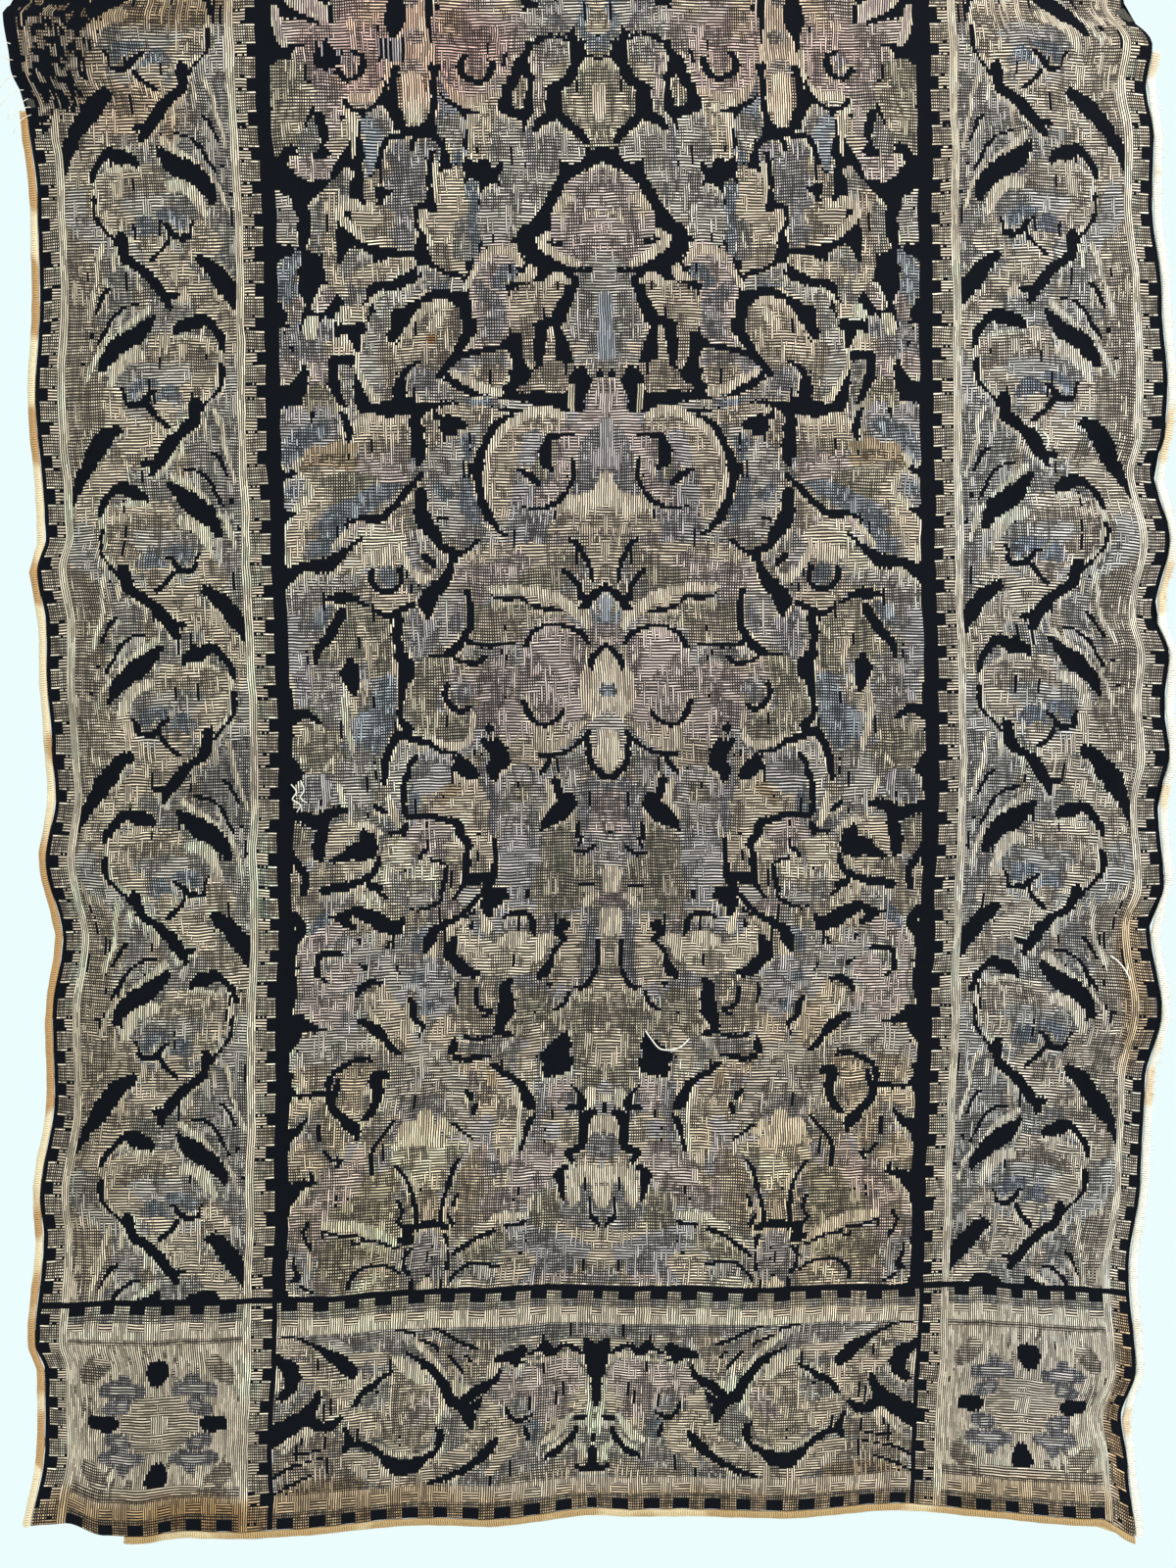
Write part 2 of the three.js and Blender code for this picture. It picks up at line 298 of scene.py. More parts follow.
# The right half of the field, top part: a yarn and its weave, then places along a stroke of it
# as across, down and half width. Later strokes lie over earlier ones
UPPER_FIGURES = strokes("""
    tan rib: 2 -4 4, 2 10 4, 2 22 4, 2 34 5
    blue grid: 9 -4 4, 9 20 4, 9 38 3, 4 44 6
    stone rib: 18 -4 8, 20 12 8, 18 26 8, 26 31 9, 38 33 8
    rose rib: 46 0 10, 48 18 8, 46 32 8, 46 46 7, 50 60 5
    lilac grid: 32 -2 4, 34 12 5, 26 22 4, 20 34 4
    tan rib: 44 22 4, 54 26 4
    stone grid: 26 44 11, 24 52 9, 28 58 6
    tan rib: 18 53 3, 24 57 4, 29 62 3
    rose grid: 33 50 4, 33 60 3, 32 70 4, 33 80 4
    tan grid: 40 63 3, 42 68 4, 43 74 3
    rose rib: 72 -4 14, 70 14 15, 70 30 17, 68 46 20, 68 58 18, 66 68 12
    rose grid: 54 36 4, 62 40 5
    rose grid: 60 6 5, 64 20 5
    tan rib: 78 20 6, 76 34 6
    tan pile: 53 69 2, 62 73 3.5, 72 73 3.5, 81 67 2.5, 86 57 1.5, 88 44 1.5
    rose grid: 66 50 5, 66 56 6
    ink: 70 48.5 1, 73 52 2, 73 57 2, 69 61 1.6, 62 62 1.6, 57 58 2, 55.5 52 1.4
    blue grid: 87 62 3, 85 72 5, 80 84 7, 76 94 7, 75 103 4
    stone rib: 78 86 6, 76 96 5
    tan pile: 95 -4 5, 95 14 5, 95 30 5, 97 42 8, 97 51 9, 104 54 5
    stone grid: 94 8 3, 98 20 4
    cream pile: 92 32 2, 90 44 2, 92 52 2
    stone grid: 95 39 3.6, 99 39 3.6
    rose rib: 122 -4 14, 122 14 14, 126 28 15, 126 44 17, 128 58 15, 131 68 11
    tan rib: 116 22 5, 120 30 5
    rose grid: 142 36 4, 144 52 5, 145 68 5, 143 82 4
    rose rib: 138 64 4, 140 80 4, 140 94 5
    tan pile: 128 34 3
    cream pile: 109 48 2, 109 58 1.8, 113 66 2, 120 71 2.6, 129 72 2.6
    lilac grid: 130 51 4, 130 57 4
    ink: 128 47 1, 124 50 1.5, 123.5 55 1.8, 126 60 1.6, 131 62 1.4, 136 58 1.8
    lilac rib: 144 0 6, 148 12 6, 152 20 6
    rose pile: 140 30 3, 148 24 5, 158 20 4
    rose rib: 150 38 6, 162 36 7
    rose grid: 150 48 5, 156 52 5, 148 58 5
    rose pile: 168 24 2, 167 33 2.5, 164 42 3
    olive grid: 156 56 5, 164 62 10, 164 78 12, 166 90 9, 170 98 4
    tan rib: 152 68 4, 158 84 5
    olive rib: 166 74 4, 170 88 3
    stone grid: 149 84 3, 151 92 5, 155 99 4
    tan rib: 130 82 4, 134 90 4, 138 97 4
    cream pile: 134 74 2, 130 83 2.4, 130 92 2, 130 101 1.5
    rose rib: 139 101 2, 145 107 5, 152 108 7, 159 107 6, 163 103 2
    stone grid: 127 76 2.4, 116 80 5, 115 88 6
    blue rib: 122 84 4, 121 94 6, 122 104 4, 125 111 2
    tan grid: 96 64 9, 97 74 9, 97 82 6
    cream pile: 98 63 5, 98 72 6, 98 80 5
    stone rib: 93 57 2.6, 98 54 3, 103 57 2.6
    tan rib: 56 77 6, 62 84 8, 62 94 8, 66 101 4
    cream pile: 61 77 2, 68 81 2.6, 69 89 1.8, 69 97 1.6
    stone rib: 48 87 8, 48 98 9, 50 108 8
    stone grid: 55 92 3, 56 102 4
    stone rib: 16 99 8, 26 94 9, 35 98 7
    stone grid: 24 87 4, 31 110 8, 38 118 9, 47 124 10, 52 138 9
    stone rib: 30 116 6, 36 126 6, 40 134 3
    stone rib: 58 124 7, 57 134 9, 56 144 8
    lilac grid: 37 84 2.2, 38 96 2.4, 38 108 2
    blue grid: 68 118 4, 71 130 5, 72 142 6, 71 152 5
    olive grid: 2 55 7, 4 64 11, 6 72 15, 6 80 13, 5 88 9, 3 96 4
    tan rib: 12 72 3, 12 82 4, 8 91 3
    tan pile: 2 68 2, 1 82 2
    lilac grid: 92 95 5, 88 101 4
    lilac grid: 107 94 6, 104 104 12, 103 116 11, 104 130 10, 106 142 9
    tan grid: 113 106 4, 116 114 3
    tan grid: 123 116 4, 122 122 4
    rose rib: 0 110 7, 2 118 17, 4 130 23, 4 146 21, 2 155 13
    tan rib: 18 126 5, 22 131 4
    tan pile: 19 124 3, 24 129 2.6
    tan pile: 2 132 1.6, 8 132 1.6, 12 138 1.4
    rose grid: 10 120 4, 16 146 4, 8 155 4
    cream pile: 14 158 2, 22 155 2.6, 29 151 3.4, 34 147 3, 30 143 2.6
    stone grid: 134 110 4, 140 120 8, 148 132 8, 149 146 7
    tan grid: 142 122 5, 143 140 4, 144 156 4
    stone grid: 128 154 7, 134 164 7, 132 174 6
    tan rib: 143 152 3, 142 163 4, 138 170 4
    tan rib: 76 112 5, 81 118 8, 80 130 9, 84 142 9, 83 154 10, 77 162 4
    stone grid: 75 138 4, 75 152 5
    tan grid: 86 152 5, 84 160 3
    cream pile: 86 107 2, 88 116 1.8, 88 126 1.5
    tan rib: 90 136 4, 93 140 3.5
    cream pile: 94 131 2.2, 96.5 136 2, 94 142 2, 91 147 1.6
    tan rib: 114 134 6, 124 133 7, 122 141 7, 115 145 5
    cream pile: 121 127 2, 131 126 2.6, 138 130 2.4, 133 137 2.4, 127 143 2
    stone rib: 170 120 5, 168 130 8, 168 138 7, 164 146 4
    blue grid: 162 154 4, 166 162 6, 164 174 5, 162 186 4
    blue rib: 170 162 4, 171 174 4
    tan rib: 100 157 2.4, 108 158 5, 118 161 5.5, 129 164 5
    lilac grid: 97 160 2.5, 91 163 3
    stone rib: 76 170 3, 86 167 4.5, 96 169 5, 106 174 5, 117 177 6
    blue grid: 84 171 2.4, 94 172 2
    stone grid: 118 184 5, 121 194 7, 124 204 6
    cream pile: 118 172 1.5, 123 176 1.6, 128 181 1.2
    tan grid: 114 202 5, 114 214 6, 115 226 5
    stone rib: 126 196 5, 126 208 6, 123 218 6, 121 228 4
    cream pile: 131 200 1.3, 131 211 1.5, 127 220 1.6, 122 228 1.8
    tan rib: 82 182 5, 88 188 11, 95 197 14, 102 206 9
    tan grid: 78 186 3.4, 79 198 3.4, 86 206 5, 94 212 6
    cream pile: 83 178 2, 92 178 2.8, 99 182 3, 105 188 2.8, 111 197 1.8
    cream pile: 86 184 2, 92 191 3
    rose rib: 48 153 7, 60 157 8, 62 170 9, 60 186 10, 64 197 8, 73 204 2
    blue grid: 50 163 5, 56 168 4
    lilac grid: 65 172 4, 57 182 5, 60 194 5
    tan pile: 43 157 2, 50 151.5 2, 60 151.5 2.6, 64 155 1.6
    cream pile: 67 160 1.5, 71 166 1.8, 74 172 1.4
    tan rib: 26 170 5, 32 178 9, 42 180 10, 44 190 7
    cream pile: 19 168 1.5, 25 165 2.6, 31 170 2
    cream pile: 37 158 1.6, 39 164 3, 44 166 2
    tan grid: 40 194 3.4, 42 203 3, 41 211 3
    stone rib: 0 158 7, 4 165 10, 6 172 8, 8 180 12, 6 188 10, 10 195 14, 8 204 12, 5 212 9
    stone grid: 10 176 4, 12 188 4
    blue pile: 1 176 2.4, 1 190 3, 1 206 4
    tan rib: 14 203 3, 20 204 2.4
    stone rib: 2 224 7, 3 232 7
    tan rib: 29 194 1.6, 29 202 3, 31 209 2.6
    tan grid: 20 212 3, 26 216 7, 33 220 7, 45 224 2.6
    tan rib: 22 224 3, 36 224 2
    olive pile: 18 224 2, 18 234 2
    lilac rib: 54 206 3, 58 211 8, 70 212 7, 83 214 2
    stone grid: 59 208 5, 66 207 3
    tan rib: 57 218 6, 67 217 5
    cream pile: 56 226 2.4, 64 225 2.6, 73 220 2.6, 81 216 1.4
    stone rib: 42 233 2, 56 232 3, 70 230 4, 82 226 5, 96 226 6, 103 230 4
    lilac grid: 88 217 3, 96 220 6, 102 215 4, 103 224 3
    blue grid: 62 232 3, 72 231 3
    tan rib: 60 238 3, 76 236 4, 90 238 3
    tan rib: 129 182 4, 135 184 5
    cream pile: 137 182 3, 141 186 2
    rose rib: 146 172 4, 150 178 4
    lilac grid: 146 188 4, 150 200 6, 160 204 5
    rose grid: 160 178 4, 164 186 4
    cream pile: 153 187 4, 155 192 4
    tan rib: 135 200 4, 143 201 5
    cream pile: 138 196 2.4, 142 197 2
    lilac grid: 164 195 6, 171 196 6, 168 206 5
    rose rib: 150 208 5, 152 215 6
    rose rib: 165 210 5, 168 216 4
    stone grid: 137 212 4, 138 224 5, 134 236 4
    olive grid: 143 232 4, 152 224 5, 156 233 4
    ink: 8 42 1, 15 41 1, 22 38.5 1.2, 29 39.5 1, 35 43 1.4, 39 49 1.8, 43 55 3, 44 62 2
    ink: 36 59 1.6, 36 68 1.6, 37 76 2.4
    ink: 47 60 1.6, 48 68 2, 50 76 3, 43 80 2.6, 37 79 2
    ink: 10 42 1.4, 8 49 2, 12 55 1.6, 14 61 1.6, 20 65 2, 24 71 2.6, 25 78 2.4, 19 83 3, 14 88 2.2,
        8 94 2
    ink: 0 52 0.8, 7 50 1
    ink: 24 82 2, 31 83 2.6, 34 88 2
    ink: 1 102 4, 10 107 3, 18 112 3, 24 120 2.6, 29 129 2.6, 34 137 3.4, 42 144 3.4, 38 152 4.6,
        30 158 3.6, 19 161.5 1.6, 8 161.5 2
    ink: 48 47 0.8, 50 53 0.9
    ink: 65 79 0.9, 73 77.5 1, 80 74 0.9, 84 70 0.8
    ink: 88 26 1.8, 89 34 1.4
    ink: 103 24 1.6, 103 34 2
    ink: 84 24 1.4
    ink: 86 56 2, 88 64 1.5, 88 76 1.5, 91 85 2, 98 89 2, 105 86 2, 108 78 1.5, 108 64 1.5, 106 56 2
    ink: 111 64 0.8, 115 72 1.2, 121 77 1.2, 128 78 1, 134 73 1.4
    ink: 138 24 1.2, 139 31 1.2
    ink: 151 29 1, 157 27 1.3, 163 21 1
    ink: 174 10 2, 174 30 3.4, 172 42 4.4, 163 48 1.6
    ink: 146 79 1.6, 145 86 2.6, 144 92 1.6
    ink: 126 90 1.2, 126 98 1.4, 130 105 2.6, 136 104 2.6, 141 112 1.4, 149 119 2, 157 120 4, 167 112 7,
        172 104 5
    ink: 158 118 4.6, 158 128 4, 156 138 2.4, 157 146 2
    ink: 162 97 2.2, 168 101 2
    ink: 79 108 1.4, 81 100 1.4, 85 94 1.3, 91 91 1.4, 97 92 1.4, 99 98 1
    ink: 103 91 1.2, 110 91 1.5, 114 97 1.5, 117 106 1.4
    ink: 71 90 1, 71 98 1
    ink: 88 100 1.3, 90 110 1.2, 90 122 1.2, 89 130 1.6, 93 127 1.6, 98 129 1.3, 99 136 1, 95 144 1.3,
        94 152 2, 88 160 1.3, 76 164 1.4
    ink: 54 108 1.6, 58 112 3, 66 110 3
    ink: 127 110 2.2, 127 118 2.6, 125 125 1.2
    ink: 111 119 0.9, 116 122 2.2
    ink: 110 150 1.6, 118 150.5 3, 127 147 2, 134 142 1.6, 138 137 0.8
    ink: 98 152 1.2, 107 152 1.4, 119 154 1
    ink: 156 153 2.6, 155 162 4.6, 154 170 4, 155 177 1.6
    ink: 97 163 1, 103 167 1.2, 112 169 1.4, 122 167.5 0.9
    ink: 165 150 2.6, 173 154 3
    ink: 75 180 1.4, 79 175 2.2, 88 173.5 2.2, 96 176 1.8, 101 181 1.5, 108 186 4, 112 195 3
    ink: 74 184 2.2, 70 191 3, 75 199 2.4, 79 206 2, 83 211 1.8, 88 217 1.8
    ink: 23 147 1.8
    ink: 16 171 2, 20 179 2.6, 24 187 3.4, 27 190 2
    ink: 25 196 2.6, 23 206 3.4, 20 209 1.8
    ink: 35 194 2, 36 205 2.2
    ink: 47 197 2, 49 202 3, 47 210 3, 43 217 2.6, 48 222 2
    ink: 54 202 1, 66 203.5 1.2, 77 207 1.4
    ink: 3 217 2.4
    ink: 13 216 3, 12 223 4.4, 11 231 3
    ink: 23 231 3, 34 228 1.8, 46 228 1.6
    ink: 66 228 1.2, 74 225 1.6, 80 221 2
    ink: 95 235 2, 104 233 4, 109 226 3, 107 216 1.8, 99 210 1.2
    ink: 128 191 1.4, 133 193 2.8, 131 201 1
    ink: 134 208 2, 143 206 1.6, 143 216 2.4, 142 224 2, 137 233 1.2
    ink: 130 223 2, 129 232 2.6
    ink: 168 184 3, 173 190 2
    ink: 159 214 1.6, 163 224 4.4, 170 226 5
""")
# The right half of the field, middle part
MIDDLE_FIGURES = strokes("""
    lilac grid: 2 230 9, 4 244 11, 6 260 13, 6 280 13
    rose rib: 2 226 7, 4 234 6, 14 245 5, 20 252 6, 22 262 4
    lilac pile: 1 242 3, 1 262 4
    tan rib: 24 240 4, 38 244 8, 50 254 10, 54 266 11, 54 280 10, 50 292 8, 46 302 5
    lilac rib: 38 250 5, 42 262 5, 43 276 7, 44 290 8, 48 302 6, 50 314 7
    cream pile: 22 238.5 1.6, 34 236 2.8, 44 239 2.8, 54 245 2.8, 60 254 2.4, 63.5 264 2, 64.5 274 1.8,
        62 286 1.6, 57 296 1.8
    rose grid: 22 256 4, 24 266 4
    rose rib: 16 252 3, 23 272 5, 30 282 6, 36 284 4
    olive grid: 34 264 3, 33 271 3
    lilac grid: 36 294 7, 36 306 6
    stone rib: 60 300 8, 70 300 8, 80 304 6
    tan rib: 24 312 7, 36 314 7, 54 312 7, 70 316 6, 77 318 5
    rose grid: 46 318 7, 54 323 8, 66 325 8, 70 334 7
    rose rib: 78 320 6, 81 327 5
    olive grid: 18 316 4, 26 322 6, 34 326 7, 42 326 5
    rose grid: 24 303 5
    cream pile: 1 270 3, 3 280 5, 9 286 7, 17 288 7, 23 291 4
    tan rib: 2 293 6, 5 304 9, 3 314 7, 2 324 5
    tan rib: 20 296 6, 27 298 4
    tan pile: 4 300 1.4, 12 300 2
    olive grid: 28 345 6, 44 344 8, 58 346 9, 68 344 5
    tan rib: 12 346 3, 21 340 4, 31 336 5, 39 334 4
    cream pile: 60 330.5 1.8, 48 330 2.2, 38 331.5 2.6, 24 337 2.8, 13 346 2.6, 6.5 357 1.8
    stone rib: 62 243 3, 70 250 5, 80 255 7, 86 266 9, 86 280 10, 84 292 8, 80 302 6
    blue grid: 73 252 4, 72 262 3
    blue grid: 73 274 5, 73 284 6, 70 292 4
    blue grid: 85 281 3.4, 89 276 2.4
    tan grid: 90 239 3, 93 246 3, 95 254 2
    tan rib: 110 246 6, 120 246 9, 130 246 6
    tan grid: 108 256 5, 120 256 6
    rose rib: 112 260 6, 108 268 5, 118 268 6, 128 264 6, 118 274 4
    cream pile: 106 242 1.8, 112 240 2.4, 121 239 2.8, 130 241 2.4, 134 245 1.4
    brown rib: 138 262 6, 148 262 8, 157 265 7
    tan rib: 142 270 5, 154 270 6
    brown pile: 134 255 2.4, 142 254 3, 150 254 3, 158 256 2.6
    olive grid: 128 274 6, 138 274 7, 148 275 5, 142 284 7
    blue grid: 112 276 3, 122 279 5, 132 285 6, 144 293 7, 149 302 7, 153 309 4
    tan rib: 151 280 5, 160 290 7, 166 300 7, 168 310 6
    tan grid: 156 300 4
    cream pile: 162 260 2, 164 266 2, 160 273 2, 156 278 2, 163 285 2, 170 293 2.2, 173 303 2.2,
        171 313 2, 168 317 1.5
    lilac rib: 150 238 6, 146 246 5, 154 246 7, 166 238 6, 168 250 7, 170 262 4
    blue grid: 150 244 4, 162 251 5, 168 260 3
    lilac rib: 164 273 4, 172 280 6
    blue grid: 167 278 4
    tan grid: 100 279 3, 106 286 5, 112 292 5, 108 298 4
    stone grid: 98 301 3, 94 307 5, 100 309 4
    stone rib: 88 314 2.6
    stone grid: 100 324 4, 103 331 4
    rose rib: 114 297 5, 124 294 5, 133 297 4, 141 303 3
    cream rib: 112 303 6, 122 304 9, 130 308 8, 136 316 6, 142 320 2
    cream pile: 115 308 3, 120 312 5, 125 312 3.4
    cream pile: 136 298 1.8, 141 302 1.8, 145 307 1.4
    cream pile: 110 305 1.8, 108 314 2, 104 321 2.4, 98 325 2.8, 93 324 1.4
    tan rib: 106 335 4, 116 337 6, 124 333 5, 131 326 5
    blue grid: 117 322 5, 118 326 5
    stone rib: 134 325 4, 148 327 6, 160 331 7, 168 341 8, 166 354 8
    stone grid: 138 330 3, 150 332 4, 158 340 5
    lilac rib: 166 346 5, 168 362 6, 166 374 6, 163 386 6
    blue grid: 149 341 4, 153 347 4
    olive grid: 118 350 7, 128 344 8, 134 339 4, 122 360 9, 136 356 9, 146 364 6
    tan rib: 131 350 2.6, 130 362 3.4, 126 368 4
    olive grid: 120 370 5, 127 374 3
    stone grid: 148 374 7, 152 386 8, 150 396 7, 147 406 6
    stone rib: 82 334 4, 88 342 6, 86 352 7, 88 360 5
    lilac grid: 79 342 3.4, 81 352 3
    lilac grid: 100 346 6, 98 356 8, 102 364 5
    stone rib: 105 352 3.4
    rose rib: 28 362 15, 28 376 18, 29 392 18, 32 404 15
    rose grid: 16 362 5, 14 374 4
    rose grid: 38 372 5, 43 382 4
    rose grid: 34 392 8, 34 397 6
    tan rib: 26 408 4, 38 408 4
    tan pile: 13 404 2, 22 412 2.4, 32 415 2.8, 41 413 2
    blue grid: 0 338 9, 0 346 7
    stone rib: 2 342 4
    blue pile: 1 338 2, 1 346 2
    rose grid: 4 356 6
    cream pile: 1 366 4, 2 378 6, 5 390 7, 3 402 5
    tan pile: 10 376 3.6, 12 386 3.4, 12 396 2.4
    blue grid: 1 386 3.8
    stone rib: 0 401 3, 3 406 6, 5 414 5, 6 424 3
    cream pile: 1 411 4, 2 420 5, 1 428 3.6
    tan grid: 52 352 8, 62 352 8, 70 354 4
    stone grid: 54 366 7, 66 364 5, 75 364 4
    rose rib: 58 376 7, 60 386 8, 51 396 7, 54 406 6, 46 410 6
    rose grid: 49 378 5, 66 396 6, 62 402 5
    rose rib: 70 378 6, 68 387 5
    tan rib: 70 372 3, 78 374 4
    rose grid: 84 376 5
    lilac grid: 76 384 4, 80 390 4
    olive grid: 93 374 8, 99 384 9, 100 396 8, 94 404 8, 82 406 8, 79 412 4
    cream pile: 73 398 1.2, 73 406 1.2, 76 413 1.6, 83 415 1.6, 90 413 1.6, 97 410 1.4
    blue grid: 118 382 6, 120 396 8, 123 408 7, 126 416 5
    blue rib: 132 398 4, 134 408 4
    cream pile: 131 378 1.8, 134 384 1.4
    tan rib: 136 388 2.6, 137 396 2.4
    cream pile: 141 386 1.8, 142 396 1.8, 140 406 2, 138 414 1.6, 137 420 1
    olive grid: 150 409 6, 160 408 7, 167 413 6, 146 420 6, 157 421 8
    tan rib: 168 404 4
    stone rib: 130 422 6, 138 428 9, 134 438 9, 140 444 6
    cream pile: 146 434 1.6, 144 442 1.6
    cream pile: 150 422 1.5, 154 426 1.2
    lilac grid: 154 434 6, 162 438 7, 158 446 5
    tan rib: 172 444 3
    stone grid: 18 424 6, 22 430 8, 26 436 6
    stone rib: 24 439 4
    lilac grid: 6 440 8, 8 452 9, 11 464 7
    rose rib: 3 445 6, 2 458 8, 4 470 9
    tan rib: 38 425 5, 46 424 7, 47 416 6
    stone rib: 46 434 9, 54 438 8, 44 446 9, 54 454 8, 46 463 8, 50 472 8
    olive grid: 47 440 6
    lilac grid: 63 440 4, 64 452 3, 64 462 3
    cream pile: 34 435 1.6, 32 442 1.4, 33 448 1.8, 37 453 2
    lilac grid: 66 424 2, 67 434 3, 68 444 2.6
    tan rib: 75 440 6, 86 440 9, 96 444 7, 84 450 8, 74 454 7, 70 446 4
    brown rib: 82 437 3, 90 444 2.4
    tan rib: 72 460 6, 68 470 6
    blue grid: 104 438 4, 106 446 4
    lilac rib: 88 424 5, 94 430 8, 100 436 5
    lilac grid: 96 420 5, 103 427 5
    stone rib: 104 413 2, 110 420 5, 114 430 5, 115 441 3
    cream pile: 119 441 1.4, 117 450 2.2, 114 457 1.5
    rose rib: 88 460 4, 96 460 8, 104 464 6
    rose grid: 98 466 6, 90 473 5
    stone rib: 122 453 3, 130 450 6, 137 448 5
    tan rib: 138 457 5, 146 461 6, 149 470 5
    cream pile: 124 461 1.6, 130 457 2, 135 456 1.8
    olive grid: 162 460 3, 166 465 4, 167 455 2
    olive grid: 24 463 5, 26 472 6, 35 470 5
    ink: 30 250 1.6, 32 256 3, 32 262 3.2, 29 268 1.2
    ink: 17 248 0.8, 24 249 1, 31 250 1.6
    ink: 48 267 0.8, 41 270 1.6, 36 275 1.8
    ink: 18 262 0.8, 18 273 1.2, 22 281 1.3, 28 286 1.3, 36 289 1, 44 287 0.8
    ink: 49 237.5 1, 58 243 2.4, 63 252 2, 67 262 2.4, 68.5 273 2.6, 66 284 2, 62 292 2, 56 299 1.3,
        51 302.5 0.8
    ink: 71 266 2.4, 73 270 1.4
    ink: 18 305 0.8, 14 308 1.4, 11 313 1.6, 8 320 1.4, 7 327 1
    ink: 22 321 0.9, 17 324 1.5, 14 330 1.5, 13 336 2
    ink: 0 329.5 1.4, 5 333 2.2, 10 338 3, 13 341 2
    ink: 42 337 0.9, 46 335 1.2, 54 335.4 1.2, 60 334 0.8
    ink: 24 343 1.1, 31 342 1.3, 39 340 1
    ink: 76 243 3, 84 243 4.6, 82 246 3, 90 237 1.4
    ink: 98 236 3, 106 233 5, 112 235 4, 120 237 1.6
    ink: 100 240 3, 99 250 4, 98 258 3.4, 98 263 2
    ink: 138 238 1.5, 136 246 2, 137 251 1.4
    ink: 155 236 1.2, 156 241 0.8
    ink: 165 267 1.2, 172 270 2.4
    ink: 166 288 1.4, 173 292 2.6
    ink: 97 270 1.6, 102 275 1.5, 108 281 1.6, 115 288 1.8, 122 292 2.4, 130 291 1.8, 138 294 1.2
    ink: 98 278 2, 98 286 3, 96 295 4, 91 302 3.2, 88 308 2.4, 81 312 2.6, 83 318 2, 86 326 3, 92 331 4,
        96 338 4.6, 95 346 1.4
    ink: 68 305 1.2, 73 309 1.2, 80 313 1.4
    ink: 84 293 0.8, 89 294 0.8
    ink: 93 317 2.2, 97 313 1.8
    ink: 110 319 2, 110 326 1.5, 114 330.5 1.3, 121 330 1.4, 125 326 1.6, 125 320 2
    ink: 131 302 1, 136 306 1.6, 142 312 3, 149 317 4, 158 317 3, 164 319 3, 172 324 5
    ink: 103 338 1.4, 110 341 1.8, 117 344 1.6, 124 340 1.2
    ink: 127 338 1.4, 134 334 2, 142 334 3.6, 150 334.5 1.6
    ink: 141 341 2.6, 144 348 2.6, 149 355 2.6, 155 362 2, 156 369 1
    ink: 112 345 2.2, 112 356 1.8, 112 365 2.4, 108 373 4.4, 110 382 2, 111 392 1.3, 111 399 1.8,
        107 405 3
    ink: 74 332 1.6, 73 342 1.8, 73 351 1.8, 77 358 2, 81 363 2.6, 88 366.5 1.3, 95 366 1
    ink: 10 361 1, 13 356 1.3, 19 352.5 1, 26 351 1, 34 351.5 1, 40 355 1.3, 43 362 1.6
    ink: 24 396 1, 27 401 1.4, 33 404 1.3, 39 402 1.4, 43.5 396 1.8, 44.5 391 1.2
    ink: 0 361 1.3, 4 364.5 1.6, 8 370 1.6, 8.5 375 0.8
    ink: 10 409 1.3, 15 414 1.4, 21 418 1.3, 29 420.5 1.1, 37 420 0.9
    ink: 49 360 0.9, 58 360.5 1, 66 361 1, 72 360 1.2, 77 358.5 1.6
    ink: 65 367 1, 70 370.5 1.3, 77 370 1.2, 82 367 0.9
    ink: 87 382 1.6, 87.5 389 1.8, 84 394 1.6, 79 396 1.7, 74 393.5 1.2
    ink: 83 418 1, 90 417 1.1, 96 413 1.5, 103 411 1.8, 112 408 2.6, 117 415 2.2, 120 423 2, 121 434 1.5
    ink: 138 367 2.2, 138 374 4.6, 137 381 2.8, 136 385 1.4
    ink: 156 400 1.2, 163 396 2.8, 173 398 3.6
    ink: 174 420 2, 169 426 3, 173 432 4
    ink: 142 447 1.4, 150 448 2.4, 157 453 4, 166 450 3, 174 448 3
    ink: 154 458 3, 156 470 4
    ink: 173 456 2.6, 174 470 3
    ink: 30 420 1, 33 426 1.6, 37 430 1
    ink: 63 406.5 1.6
    ink: 67 413 1.6, 61 416 4, 58 423 5, 63 427 3, 62 433 1.2
    ink: 80 422 2.4, 78 426 4.4, 72 431 2
    ink: 11 414 1.3, 10 422 1.4, 8 428 2, 2 433 2.4
    ink: 29 434 1.8, 27 441 2, 22 446 4.2, 27 452 4.6, 34 457 3, 38 461 1
    ink: 17 458 0.9, 17 470 1.6
    ink: 104 420 1, 107 426 1.2, 110 435 1.6, 111 445 1.7, 109 452 1.8, 103 452.5 1.8, 96 452 1.3,
        90 454 1.6, 82 457 2.4, 80 464 2.6, 75 468 2.2
    ink: 71 463 1.6
    ink: 98 470 1.2, 102 474 1.8
    ink: 110 456 1.4, 113 463 2.4, 119 461 1.4
    ink: 121 450 1.2, 126 446 1.6
    ink: 133 460 2.6, 129 468 5, 137 472 5
""")
